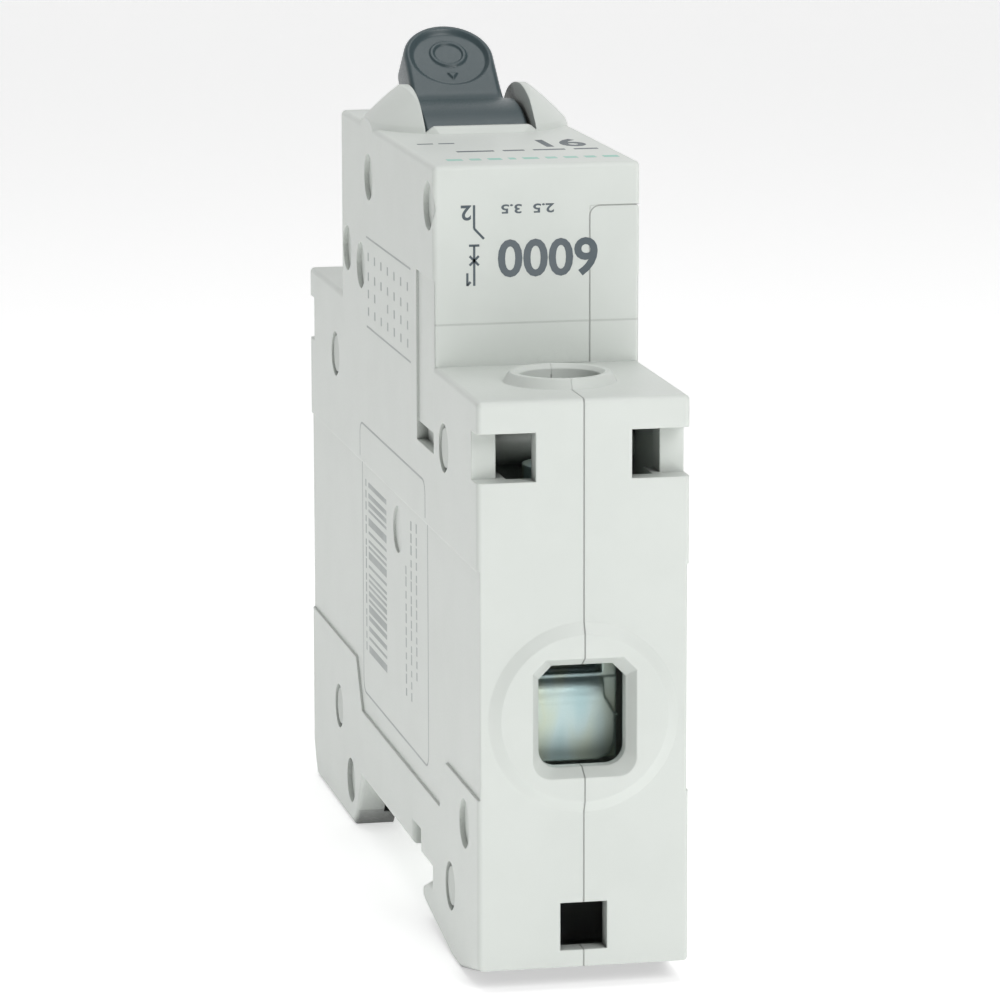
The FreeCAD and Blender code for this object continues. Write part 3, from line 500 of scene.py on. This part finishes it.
@dataclass(frozen=True)
class CasePlastic(Finish):
    """Pale thermoset with the joint line between the case halves.

    Args:
        nose_seam: X of the joint on the nose, in millimetres.
        nose_top: Z where the joint turns to the side of the nose.
        corner: Radius of that turn.
        shoulder: Z of the shoulder, where the joint steps back to the middle.
        line: Width of the joint line.
        witness: Z of the faint mould line across the nose wall.
        nose_face: Y of the nose wall.
    """

    nose_seam: float = 4.6
    nose_top: float = 57.9
    corner: float = 0.9
    shoulder: float = 44.42
    line: float = 0.10
    witness: float = 48.0
    nose_face: float = -22.5

    def joint(self, wire: Wiring) -> bpy.types.NodeSocket:
        """Mask of the joint line, 1 on it.

        Args:
            wire: The material's wiring.

        Returns:
            The mask's socket.
        """
        place = wire.node("ShaderNodeTexCoord").outputs["Object"]
        x, y, z = wire.node("ShaderNodeSeparateXYZ", {0: place}).outputs
        middle = wire.math("ABSOLUTE", x)
        across = wire.math("SUBTRACT", (self.nose_seam + self.corner) * MM, x)
        above = wire.math("SUBTRACT", z, (self.nose_top - self.corner) * MM)
        round_x, round_z = wire.math("MAXIMUM", across, 0.0), wire.math("MAXIMUM", above, 0.0)
        reach = wire.math("SQRT", wire.math("ADD", wire.math("MULTIPLY", round_x, round_x),
                                            wire.math("MULTIPLY", round_z, round_z)))
        inner = wire.math("MINIMUM", wire.math("MAXIMUM", across, above), 0.0)
        skin = wire.math("SUBTRACT", wire.math("ADD", reach, inner), self.corner * MM)
        nose = wire.math("ABSOLUTE", skin)
        on_nose = wire.math("GREATER_THAN", z, self.shoulder * MM)
        distance = wire.node("ShaderNodeMix", data_type="FLOAT")
        for name, value in (("Factor", on_nose), ("A", middle), ("B", nose)):
            wire.tree.links.new(value, next(s for s in distance.inputs if s.name == name and s.enabled))
        gap = next(s for s in distance.outputs if s.enabled)
        seam = wire.ramp(gap, self.line * 0.75 * MM, self.line * 0.3 * MM)
        off_line = wire.math("ABSOLUTE", wire.math("SUBTRACT", z, self.witness * MM))
        off_wall = wire.math("ABSOLUTE", wire.math("SUBTRACT", y, self.nose_face * MM))
        faint = wire.math("MULTIPLY", wire.ramp(off_line, 0.13 * MM, 0.04 * MM, 0.0, 0.4),
                          wire.ramp(off_wall, 0.3 * MM, 0.2 * MM))
        return wire.math("MAXIMUM", seam, faint)

    def tint(self, wire: Wiring, surface: bpy.types.NodeOutputs) -> bpy.types.NodeSocket:
        """The plastic's colour, darker along the joint.

        Args:
            wire: The material's wiring.
            surface: Outputs of the surface group.

        Returns:
            The colour's socket.
        """
        plain = super().tint(wire, surface)
        dark = tuple(c * 0.22 for c in self.colour)
        return wire.mix(wire.math("MULTIPLY", self.joint(wire), 0.6), plain, (*dark, 1))

    def relief(self, wire: Wiring, normal: bpy.types.NodeSocket) -> bpy.types.NodeSocket:
        """The normal, sunk along the joint.

        Args:
            wire: The material's wiring.
            normal: The softened and grained normal.

        Returns:
            The normal's socket.
        """
        sunk = {"Height": self.joint(wire), "Distance": 0.05 * MM, "Strength": 0.6, "Normal": normal}
        return wire.node("ShaderNodeBump", sunk, invert=True).outputs[0]

    def trim(self, principled: bpy.types.Node) -> None:
        """Lets a little light under the skin.

        Args:
            principled: The material's Principled node.
        """
        principled.inputs["Subsurface Weight"].default_value = 0.08
        principled.inputs["Subsurface Radius"].default_value = (0.6 * MM, 0.6 * MM, 0.55 * MM)
        principled.inputs["Subsurface Scale"].default_value = 1.0
        principled.inputs["Specular IOR Level"].default_value = 0.4


@dataclass(frozen=True)
class Plating(Finish):
    """Zinc plate with the thin colours of its passivation.

    Args:
        film: Colours of the film, from thin to thick.
    """

    film: tuple = ((0.50, 0.72, 0.74), (0.64, 0.80, 0.79), (0.72, 0.79, 0.62), (0.58, 0.77, 0.80))

    def tint(self, wire: Wiring, surface: bpy.types.NodeOutputs) -> bpy.types.NodeSocket:
        """Bare zinc drifting through the film's colours.

        Args:
            wire: The material's wiring.
            surface: Outputs of the surface group.

        Returns:
            The colour's socket.
        """
        place = wire.node("ShaderNodeTexCoord").outputs["Object"]
        drawn = wire.node("ShaderNodeMapping", {"Vector": place, "Scale": (1.0, 0.5, 0.35)}).outputs[0]
        bands = wire.node("ShaderNodeTexNoise", {"Vector": drawn, "Scale": 230.0, "Detail": 2.0}).outputs[0]
        ramp = wire.node("ShaderNodeValToRGB", {"Fac": bands})
        stops = ramp.color_ramp.elements
        stops[0].position, stops[1].position = 0.32, 0.68
        stops[0].color, stops[1].color = (*self.film[0], 1), (*self.film[-1], 1)
        for number, colour in enumerate(self.film[1:-1], start=1):
            stops.new(0.32 + 0.36 * number / (len(self.film) - 1)).color = (*colour, 1)
        return wire.mix(self.drift, (*self.colour, 1), ramp.outputs[0])


# The case carries painted shade: darker corners and nearly black deep inside.
CASE = CasePlastic("case_plastic", (0.70, 0.735, 0.70), (0.665, 0.70, 0.665), roughness=0.42,
                   edge_radius=0.18, edge_highlight=0.25, grain=0.22, depth=0.0025, corner_shade=0.16, inner=0.95)
TOGGLE = Finish("toggle_plastic", (0.052, 0.080, 0.088), (0.064, 0.094, 0.103), roughness=0.36,
                edge_radius=0.12, edge_highlight=0.6, grain=0.18, depth=0.002, corner_shade=0.5)
CLIP = Finish("clip_plastic", (0.66, 0.69, 0.66), (0.60, 0.63, 0.60), grain=0.3, depth=0.003)
CARRIER = Finish("carrier_plastic", (0.06, 0.05, 0.04), (0.09, 0.075, 0.06), roughness=0.55)
FORMER = Finish("former_plastic", (0.62, 0.58, 0.48), (0.54, 0.50, 0.40), roughness=0.5)
ZINC = Plating("zinc_steel", (0.60, 0.72, 0.72), (0.42, 0.50, 0.52), drift=0.75, roughness=0.47,
               metallic=1.0, edge_radius=0.3, edge_highlight=0.6, grain=0.16, depth=0.006, corner_shade=0.35)
STEEL = Finish("plain_steel", (0.50, 0.51, 0.53), (0.40, 0.41, 0.44), roughness=0.32, metallic=1.0,
               stretch=(1.0, 0.15, 1.0))
SPRING = Finish("spring_steel", (0.30, 0.31, 0.33), (0.20, 0.21, 0.24), roughness=0.3, metallic=1.0)
COPPER = Finish("copper", (0.72, 0.36, 0.22), (0.50, 0.22, 0.13), roughness=0.34, metallic=1.0,
                stretch=(1.0, 0.1, 1.0))
RIVET = Finish("zinc_steel", (0.60, 0.635, 0.60), (0.52, 0.55, 0.52), roughness=0.5, grain=0.2,
               depth=0.003)
TIN = Finish("copper", (0.46, 0.47, 0.47), (0.20, 0.21, 0.22), drift=0.8, roughness=0.3, metallic=1.0,
             edge_radius=0.08, edge_highlight=0.8, corner_shade=0.8)
SILVER = Finish("silver", (0.82, 0.82, 0.80), (0.66, 0.65, 0.62), roughness=0.28, metallic=1.0)
BIMETAL = Finish("bimetal", (0.52, 0.48, 0.43), (0.42, 0.40, 0.38), roughness=0.36, metallic=1.0,
                 stretch=(0.2, 1.0, 1.0))
FIBRE = Finish("fibre", (0.26, 0.10, 0.06), (0.34, 0.16, 0.10), roughness=0.75, grain=0.5, depth=0.02,
               stretch=(1.0, 0.2, 1.0))
FINISHES = (CASE, TOGGLE, CLIP, CARRIER, FORMER, ZINC, STEEL, SPRING, COPPER, SILVER, BIMETAL, FIBRE)


@dataclass(frozen=True)
class Ink(Finish):
    """Pad-printed ink, broken up a little by the plastic's grain."""

    def trim(self, principled: bpy.types.Node) -> None:
        """Keeps the ink's shine low.

        Args:
            principled: The material's Principled node.
        """
        principled.inputs["Specular IOR Level"].default_value = 0.25


@dataclass(frozen=True)
class TealInk(Ink):
    """The same ink in teal."""


@dataclass(frozen=True)
class FaintInk(Ink):
    """The same ink in pale grey."""


DARK_INK = Ink("case_plastic", (0.10, 0.125, 0.14), (0.16, 0.185, 0.20), drift=0.6, roughness=0.5,
               grain=0.12, depth=0.0, corner_shade=0.0, edge_highlight=0.0, edge_radius=0.001)
FAINT_INK = FaintInk("case_plastic", (0.40, 0.43, 0.42), (0.52, 0.55, 0.54), drift=0.6, roughness=0.5,
                     grain=0.12, depth=0.0, corner_shade=0.0, edge_highlight=0.0, edge_radius=0.001)
TEAL_INK = TealInk("case_plastic", (0.34, 0.62, 0.54), (0.48, 0.67, 0.60), drift=0.6, roughness=0.5,
                   grain=0.12, depth=0.0, corner_shade=0.0, edge_highlight=0.0, edge_radius=0.001)


# ---------------------------------------------------------------- printed marks
@dataclass(frozen=True)
class Print:
    """Marks printed on one face, as thin raised ink.

    Args:
        name: The piece's name.
        plane: The face that it is printed on.
        body: The body that the face belongs to.
        ink: Its ink.
        thickness: How far the ink stands up, in millimetres.
    """

    name: str
    plane: Plane
    body: str = "case"
    ink: Finish = DARK_INK
    thickness: float = 0.012

    def make(self, outlines: list, figures: list = ()) -> bpy.types.Object:
        """Prints the marks.

        Args:
            outlines: Flat outlines, counterclockwise.
            figures: Number marks as (text, left, bottom, height, width) rows.

        Returns:
            The piece.
        """
        shells = Shells()
        for outline in outlines:
            shells.add_prism(outline, -0.01, self.thickness, self.plane)
        for text, left, bottom, height, width in figures:
            self.add_figures(shells, text, (left, bottom), (width, height))
        return shells.make(self.name, self.body, self.ink)

    def add_figures(self, shells: Shells, text: str, corner: tuple, size: tuple) -> None:
        """Adds numbers, fitted to a box.

        Args:
            shells: Where they go.
            text: The numbers.
            corner: Lower left corner of their box.
            size: Width and height of their box.
        """
        curve = bpy.data.curves.new("figures", "FONT")
        curve.body = text
        curve.extrude = 0.5
        curve.offset = 0.022
        curve.resolution_u = 4
        source = bpy.data.objects.new("figures", curve)
        bpy.context.scene.collection.objects.link(source)
        flat = bpy.data.meshes.new_from_object(source.evaluated_get(bpy.context.evaluated_depsgraph_get()))
        points = np.empty(len(flat.vertices) * 3)
        flat.vertices.foreach_get("co", points)
        points = points.reshape(-1, 3)
        low, high = points.min(0), points.max(0)
        flat_points = np.array(corner) + (points[:, :2] - low[:2]) / (high - low)[:2] * np.array(size)
        top = points[:, 2] > 0
        placed = np.where(top[:, None], self.plane.place(flat_points, self.thickness),
                          self.plane.place(flat_points, -0.01))
        shells.add(placed, [list(face.vertices) for face in flat.polygons])
        bpy.data.objects.remove(source)
        bpy.data.curves.remove(curve)
        bpy.data.meshes.remove(flat)


def frame_lines(low: tuple, high: tuple, radius: float, width: float) -> list:
    """A rounded frame as short strokes.

    Args:
        low: Its lower left corner.
        high: Its upper right corner.
        radius: Its corners' radius.
        width: How wide the line is.

    Returns:
        Outlines of the strokes.
    """
    path = rounded(low, high, radius)
    outlines = []
    for a, b in zip(path, np.roll(path, -1, 0)):
        steps = math.ceil(np.linalg.norm(b - a) / 0.5)
        stops = [a + (b - a) * n / steps for n in range(steps + 1)] if steps else []
        outlines += [bar(p, q, width) for p, q in zip(stops, stops[1:])]
    return outlines


def dashes(left: float, right: float, level: float, height: float, words: list) -> list:
    """A row of short dashes in place of a line of words.

    Args:
        left: Where the row starts.
        right: Where it ends.
        level: Its middle height.
        height: How tall the dashes are.
        words: How long each dash is, as shares of the row; gaps are the same share between them.

    Returns:
        Outlines of the dashes.
    """
    gap = 0.35
    total = sum(words) + gap * (len(words) - 1)
    outlines, at = [], left
    for share in words:
        end = at + share / total * (right - left)
        outlines.append(bar((at, level), (end, level), height))
        at = end + gap / total * (right - left)
    return outlines


@dataclass
class Marks:
    """All the printing on the breaker: plain numbers, a switch symbol, bars and dashes.

    Args:
        nose_face: Y of the nose wall, in millimetres.
        nose_top: Z of the nose's top.
        side: X of the left side.
        band: How deep the relieved band of the side lies.
        band_top: Z of the band's upper edge.
    """

    nose_face: float = -22.5
    nose_top: float = 61.6
    side: float = -9.0
    band: float = 0.22
    band_top: float = 30.2

    def build(self) -> None:
        """Prints every face."""
        self.nose_wall()
        self.nose_roof()
        self.spec_block()
        self.side_label()

    def nose_wall(self) -> None:
        """The marks that read upside down over the line terminal."""
        wall = Plane((0, self.nose_face, 0), (-1, 0, 0), (0, 0, -1))
        symbol_x = 5.45
        line = 0.2
        symbol = [
            bar((symbol_x, -58.2), (symbol_x, -56.2), line),
            bar((symbol_x, -54.75), (symbol_x, -51.3), line),
            bar((symbol_x, -56.2), (symbol_x - 0.85, -55.3), line),
            bar((symbol_x - 0.4, -53.85), (symbol_x + 0.4, -53.05), line),
            bar((symbol_x - 0.4, -53.05), (symbol_x + 0.4, -53.85), line),
            bar((symbol_x - 0.45, -54.75), (symbol_x + 0.45, -54.75), line),
            bar((symbol_x + 0.6, -52.4), (symbol_x + 0.6, -51.3), line),
            bar((symbol_x + 0.6, -51.35), (symbol_x + 0.32, -51.65), line),
        ]
        numbers = [("2", symbol_x + 0.25, -58.2, 1.3, 0.9), ("2.5  3.5", -1.5, -58.2, 0.8, 4.6),
                   ("6000", -5.3, -55.2, 3.3, 8.7)]
        Print("nose_wall_marks", wall).make(symbol, numbers)

    def nose_roof(self) -> None:
        """Rows on top of the nose, read from the line end."""
        roof = Plane((0, 0, self.nose_top), (1, 0, 0), (0, 1, 0))
        teal = dashes(-7.0, 8.0, -18.5, 1.2, [0.7, 0.5, 0.6, 0.3, 0.7, 0.5, 0.6, 0.5, 0.7])
        Print("nose_roof_teal_marks", roof, ink=TEAL_INK).make(teal)
        dark = dashes(-5.0, 7.5, -12.7, 0.7, [1.4, 0.8, 1.2, 0.9]) + dashes(-7.3, -4.0, -6.5, 0.5, [1, 1])
        Print("nose_roof_dark_marks", roof).make(dark, [("16", 3.4, -10.8, 5.4, 3.8)])

    def side_plane(self, depth: float) -> Plane:
        """The left side as a drawing surface that reads from outside, its first axis towards the line end.

        Args:
            depth: How far inside the case's outermost side it lies.

        Returns:
            The plane.
        """
        return Plane((self.side + depth, 0, 0), (0, -1, 0), (0, 0, 1))

    def spec_block(self) -> None:
        """Columns of small dashes between two thin lines, high on the left side."""
        rows = [bar((-9.5, z), (12.0, z), 0.16) for z in (51.4, 43.2)]
        for number in range(7):
            x = -8.6 + 3.2 * number
            levels = (44.3, 45.9, 47.5, 49.3) if number != 2 else (44.3, 47.5, 49.3)
            rows += [bar((x, z), (x, z + 0.75), 0.5) for z in levels]
        Print("spec_marks", self.side_plane(0.0), ink=FAINT_INK).make(rows)

    def side_label(self) -> None:
        """A rounded frame with bars and columns of dashes, across the upper edge of the relieved band."""
        frame = frame_lines((-13.5, 8.4), (18.3, 33.8), 1.2, 0.18)
        marks = [stroke for stroke in frame if stroke[:, 1].max() < self.band_top]
        above = [stroke for stroke in frame if stroke[:, 1].min() > self.band_top]
        Print("side_label_top_marks", self.side_plane(0.0), ink=FAINT_INK).make(above)
        rng = np.random.default_rng(5)
        z = 12.6
        while z < 28.4:
            thick = rng.choice([0.25, 0.45, 0.7])
            marks.append(bar((-10.5, z + thick / 2), (-1.5, z + thick / 2), thick))
            z += thick + rng.choice([0.3, 0.55])
        columns = ((-11.8, 12.6, 28.4), (8.0, 12.6, 24.0), (10.5, 12.6, 28.4), (13.0, 15.0, 28.4))
        for left, low, high in columns:
            rows = np.arange(low, high, 1.1)
            marks += [bar((left, row), (left, row + 0.55 + 0.4 * rng.random()), 0.45) for row in rows]
        Print("side_label_marks", self.side_plane(self.band), ink=FAINT_INK).make(marks)


# ---------------------------------------------------------------- handle
@dataclass
class Handle:
    """The toggle's single moulding: an arch-topped grip, its drum shield, web, hub and crank.

    Args:
        hub: Y and Z of the hub's centre, in millimetres.
        drum: Outer radius of the drum shield.
        wall: Thickness of the shield.
        half_width: Half the drum's width.
        lean: Which way the grip leans in the off position, degrees from Z towards Y.
        spread: Half the angle that the shield covers, in degrees.
        base_half: Half the grip's width at its foot.
        tip_half: Half its width at the arch.
        aside: X of the grip's middle.
        rim: Radius of the rounding round its face.
        dimple: Radius of the thumb dimple.
        dimple_depth: How far the dimple is sunk.
        ring: Middle radius of the raised ring in it.
        ring_height: How far the ring stands up.
        pointer_height: How far the pointer under the ring stands up.
        face: The front of the grip in the side view from foot to tip, as Y and Z from the hub.
        back: Its back in the same way.
        length: Length of the grip along its front.
        blend: How far each bend of the grip's side lines is spread.
    """

    hub: tuple = (9.2, 52.9)
    drum: float = 10.8
    wall: float = 1.4
    half_width: float = 4.75
    lean: float = 24.0
    spread: float = 69.0
    base_half: float = 4.3
    tip_half: float = 4.15
    aside: float = -0.3
    rim: float = 0.6
    dimple: float = 3.5
    dimple_depth: float = 0.42
    ring: float = 1.5
    ring_height: float = 0.18
    pointer_height: float = 0.16
    face: tuple = ((-1.3, 10.7), (0.75, 10.8), (4.7, 14.05), (8.7, 16.9))
    back: tuple = ((3.4, 7.6), (7.9, 10.5), (11.35, 13.9))
    length: float = 12.0
    blend: float = 1.1

    def side_curve(self, bends: tuple, share: np.ndarray) -> tuple:
        """A smooth line in the side view and its outward normal.

        Args:
            bends: Its corners from foot to tip, as Y and Z from the hub.
            share: Places along it, 0 at the foot and 1 at the tip.

        Returns:
            Points and normals, each with two coordinates.
        """
        corners = np.array(bends, float)
        first, last = corners[0] - corners[1], corners[-1] - corners[-2]
        corners = np.concatenate([[corners[0] + 3 * first], corners, [corners[-1] + 3 * last]])
        runs = np.concatenate([[0], np.cumsum(np.linalg.norm(np.diff(corners, axis=0), axis=1))])
        places = runs[1] + share[..., None] * (runs[-2] - runs[1]) + np.linspace(-1, 1, 13) * self.blend
        near = np.stack([np.interp(places, runs, corners[:, n]) for n in (0, 1)], -1)
        along = near[..., -1, :] - near[..., 0, :]
        along /= np.linalg.norm(along, axis=-1, keepdims=True)
        return near.mean(-2), np.stack([-along[..., 1], along[..., 0]], -1)

    def relief(self, x: np.ndarray, s: np.ndarray) -> np.ndarray:
        """Height of the face over its smooth surface: dimple, ring and pointer.

        Args:
            x: Places across the face.
            s: Places along it, from the dimple's centre.

        Returns:
            Heights in millimetres.
        """
        reach = np.hypot(x, s)
        step = np.clip((reach - self.dimple + 0.3) / 0.6, 0, 1)
        sunk = -self.dimple_depth * (1 - step * step * (3 - 2 * step))
        ring = self.ring_height * np.exp(-(((np.hypot(x, s - 0.6) - self.ring) / 0.21) ** 4))
        inside = np.minimum(0.61 * (s + 2.75) - np.abs(x), -1.85 - s)
        pointer = self.pointer_height * np.clip(inside / 0.1, 0, 1)
        return sunk + ring + pointer

    def add_grip(self, shells: Shells) -> None:
        """The arch-topped grip, from the middle of its face, over its rim and round its back.

        Args:
            shells: Where it goes.
        """
        crown = self.length - self.tip_half
        sides = np.linspace(0, 1, 40)[:-1]
        foot_x = np.linspace(-self.base_half, self.base_half, 40)[:-1]
        flare = self.tip_half + (self.base_half - self.tip_half) * (1 - sides) ** 2
        turn = np.radians(np.linspace(0, 180, 120))[:-1]
        outline = np.concatenate([
            np.stack([foot_x, np.zeros_like(foot_x)], -1), np.stack([flare, crown * sides], -1),
            np.stack([self.tip_half * np.cos(turn), crown + self.tip_half * np.sin(turn)], -1),
            np.stack([-flare, crown * sides], -1)[::-1]])
        ahead, behind = np.roll(outline, -1, 0), np.roll(outline, 1, 0)
        tangent = (ahead - behind) / np.linalg.norm(ahead - behind, axis=1, keepdims=True)
        outward = np.stack([tangent[:, 1], -tangent[:, 0]], -1)
        middle = np.array([0.0, crown - 0.25])
        shares = np.concatenate([np.linspace(0.004, 0.72, 90), np.linspace(0.72, 1.0, 34)[1:]])
        flat = middle + shares[:, None, None] * (outline - middle)
        inset = np.maximum(((outline - flat) * outward).sum(-1), 0.0)
        drop = self.rim - np.sqrt(np.maximum(self.rim ** 2 - np.maximum(self.rim - inset, 0) ** 2, 0))
        height = self.relief(flat[..., 0], flat[..., 1] - middle[1]) - drop
        points, normals = self.side_curve(self.face, np.clip(flat[..., 1] / self.length, -0.02, 1))
        front = points + normals * height[..., None]
        front = np.concatenate([flat[..., :1], front], -1)
        back_shares = np.array([1.0, 0.985, 0.95, 0.9, 0.6, 0.3, 0.004])
        back_drop = np.array([0.55, 0.3, 0.1, 0.0, 0.0, 0.0, 0.0])
        back_flat = middle + back_shares[:, None, None] * (outline - middle)
        back_share = np.clip(back_flat[..., 1] / self.length, -0.02, 1)
        back_points, back_normals = self.side_curve(self.back, back_share)
        rear = back_points + back_normals * back_drop[:, None, None]
        rear = np.concatenate([back_flat[..., :1], rear], -1)
        rings = np.concatenate([front, rear])
        rings[..., 0] += self.aside
        rings[..., 1] += self.hub[0]
        rings[..., 2] += self.hub[1]
        shells.add_rings(rings[:, ::-1])

    def polar(self, angle: float, radius: float) -> tuple:
        """A place in the side view from an angle.

        Args:
            angle: Degrees from Z towards Y.
            radius: Distance from the hub.

        Returns:
            Y and Z from the hub.
        """
        return radius * math.sin(math.radians(angle)), radius * math.cos(math.radians(angle))

    def add_drum(self, shells: Shells) -> None:
        """The shield, its web, the hub and the crank that holds the link.

        Args:
            shells: Where they go.
        """
        side = Plane((0, *self.hub), (0, 1, 0), (0, 0, 1))
        first, last = 90 - self.lean - self.spread, 90 - self.lean + self.spread
        outer, inner, wide = self.drum, self.drum - self.wall, self.half_width
        round_off = 0.25
        section = [(outer - round_off, -wide), (outer, -wide + round_off), (outer, wide - round_off),
                   (outer - round_off, wide), (inner, wide), (inner, -wide)]
        turn = np.radians(np.linspace(first, last, 121))
        ring = np.array(section)
        rings = np.stack([np.broadcast_to(ring[:, 1], (len(turn), len(ring))),
                          self.hub[0] + np.cos(turn)[:, None] * ring[:, 0],
                          self.hub[1] + np.sin(turn)[:, None] * ring[:, 0]], -1)
        shells.add_rings(rings[:, ::-1])
        web = [self.polar(self.lean + 75, 3.1), self.polar(self.lean + 22, inner + 0.4),
               self.polar(self.lean - 22, inner + 0.4), self.polar(self.lean - 75, 3.1),
               self.polar(self.lean - 30, 2.0), self.polar(self.lean + 30, 2.0)]
        shells.add_prism(web, -wide + 2.2, wide - 2.2, side)
        self.add_tube(shells, (0, 0), (1.55, 3.4), (-wide, wide))
        self.add_tube(shells, self.polar(-66.0, 4.3), (0.65, 1.8), (-wide, -wide + 2.2))

    def add_tube(self, shells: Shells, centre: tuple, radii: tuple, ends: tuple) -> None:
        """A short tube along X.

        Args:
            shells: Where it goes.
            centre: Y and Z of its axis, from the hub.
            radii: Its inner and outer radius.
            ends: X of its two ends.
        """
        turn = np.radians(np.linspace(0, 360, 65))[:-1]
        section = [(radii[0], ends[0]), (radii[1], ends[0]), (radii[1], ends[1]), (radii[0], ends[1])]
        rings = np.stack([np.stack([np.full_like(turn, x), self.hub[0] + centre[0] + r * np.cos(turn),
                                    self.hub[1] + centre[1] + r * np.sin(turn)], -1) for r, x in section])
        count, around = rings.shape[:2]
        number = np.arange(count * around).reshape(count, around)
        over = np.roll(number, -1, 0)
        quads = np.stack([number, np.roll(number, -1, 1), np.roll(over, -1, 1), over], -1)
        shells.add(rings.reshape(-1, 3), list(quads.reshape(-1, 4)))

    def build(self) -> bpy.types.Object:
        """Makes the moulding and lets it stand for the plain toggle.

        Returns:
            The piece.
        """
        shells = Shells()
        self.add_grip(shells)
        self.add_drum(shells)
        piece = shells.make("toggle_moulding", "toggle", TOGGLE, crease=40)
        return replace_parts(piece, "toggle_handle")


# ---------------------------------------------------------------- construction
@dataclass
class Construction:
    """The constructed nodes, which keep their shape and take their finishes.
    """

    frame: dict

    def dress(self) -> None:
        """Gives every node the finish of its slot; the terminal bars are tinned and the rivets painted."""
        finishes = {finish.slot: finish for finish in FINISHES}
        own = {"line_terminal_bar": TIN, "load_terminal_bar": TIN, "housing_rivets": RIVET}
        for part in self.frame["record"]["subparts"]:
            node = self.frame["nodes"][part["node"]]
            node.data.materials.clear()
            finish = own.get(part["node"], finishes[part["material_slot"]])
            node.data.materials.append(finish.material())
            log.info("%s: %s", part["node"], part["material_slot"])


# ---------------------------------------------------------------- studio
@dataclass
class Studio:
    """Pale sweep, soft lights and the camera.

    Args:
        floor_z: Where the breaker's foot stands, in millimetres.
        eye: Camera's place in millimetres.
        yaw: Its turn to the right of +Y, in degrees.
        pitch: How far it looks down.
        roll: Its tilt about its own axis.
        lens: Focal length in millimetres.
        paper_glow: How much light the paper gives out, so that it stays white.
        sky_strength: How bright the even light from all round is.
    """

    floor_z: float = -5.6
    eye: tuple = (-92.0, -453.3, 114.7)
    yaw: float = 11.64
    pitch: float = 10.56
    roll: float = -0.12
    lens: float = 187.9
    paper_glow: float = 0.52
    sky_strength: float = 0.22

    def build(self) -> None:
        """Makes the whole studio."""
        self.sweep()
        self.sky()
        self.light("key", (160, -420, 330), (0, -10, 30), 260, 1.25)
        self.light("fill", (-420, -120, 160), (0, 0, 30), 300, 0.02)
        self.light("top", (0, 40, 420), (0, 0, 20), 300, 0.55)
        self.camera()

    def sweep(self) -> None:
        """One curved sheet of pale paper, floor and backdrop together."""
        reach, rise, bend = 2.4, 2.2, 0.5
        level = self.floor_z * MM
        curve = arc((reach - bend, level + bend), bend, -90, 0, 24)
        profile = np.concatenate([[(-reach, level)], curve, [(reach, level + rise)]])
        wide = 3.0
        points = [(x, y, z) for x in (-wide, wide) for y, z in profile]
        count = len(profile)
        faces = [(n, n + count, n + count + 1, n + 1) for n in range(count - 1)]
        mesh = bpy.data.meshes.new("sweep")
        mesh.from_pydata(points, [], faces)
        mesh.shade_smooth()
        sheet = bpy.data.objects.new("sweep", mesh)
        bpy.context.scene.collection.objects.link(sheet)
        paper = bpy.data.materials.new("pale_paper")
        paper.use_nodes = True
        principled = paper.node_tree.nodes["Principled BSDF"]
        principled.inputs["Base Color"].default_value = (0.93, 0.93, 0.93, 1)
        principled.inputs["Emission Color"].default_value = (1.0, 1.0, 1.0, 1)
        principled.inputs["Emission Strength"].default_value = self.paper_glow
        principled.inputs["Roughness"].default_value = 0.9
        sheet.data.materials.append(paper)

    def sky(self) -> None:
        """Even white light from all round."""
        world = bpy.data.worlds.new("studio")
        world.use_nodes = True
        background = world.node_tree.nodes["Background"]
        background.inputs["Color"].default_value = (1.0, 1.0, 1.0, 1)
        background.inputs["Strength"].default_value = self.sky_strength
        bpy.context.scene.world = world

    def light(self, name: str, place: tuple, target: tuple, size: float, power: float) -> None:
        """One soft square light.

        Args:
            name: What it is called.
            place: Where it stands, in millimetres.
            target: What it points at.
            size: Its side in millimetres.
            power: Its power in watts.
        """
        data = bpy.data.lights.new(name, "AREA")
        data.size = size * MM
        data.energy = power
        lamp = bpy.data.objects.new(name, data)
        aim = (Vector(target) - Vector(place)).to_track_quat("-Z", "Y").to_matrix().to_4x4()
        lamp.matrix_world = Matrix.Translation(Vector(place) * MM) @ aim
        bpy.context.scene.collection.objects.link(lamp)

    def camera(self) -> None:
        """The camera, looking at the line end from a little to its left."""
        yaw, pitch, roll = (math.radians(a) for a in (self.yaw, self.pitch, self.roll))
        ahead = Vector((math.sin(yaw) * math.cos(pitch), math.cos(yaw) * math.cos(pitch), -math.sin(pitch)))
        right = Vector((math.cos(yaw), -math.sin(yaw), 0))
        up = right.cross(ahead)
        turned_right = right * math.cos(roll) + up * math.sin(roll)
        turned_up = up * math.cos(roll) - right * math.sin(roll)
        data = bpy.data.cameras.new("camera")
        data.lens = self.lens
        data.sensor_width = 36
        data.clip_start = 0.01
        data.clip_end = 20
        camera = bpy.data.objects.new("camera", data)
        axes = Matrix((turned_right, turned_up, -ahead)).transposed().to_4x4()
        camera.matrix_world = Matrix.Translation(Vector(self.eye) * MM) @ axes
        bpy.context.scene.collection.objects.link(camera)
        scene = bpy.context.scene
        scene.camera = camera
        scene.view_settings.view_transform = "Standard"


def main() -> None:
    """Loads the frame and builds the looks in order."""
    logging.basicConfig(level=logging.INFO, format="%(name)s: %(message)s")
    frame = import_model()
    Construction(frame).dress()
    Handle().build()
    Marks().build()
    Studio().build()


if __name__ == "__main__":
    main()
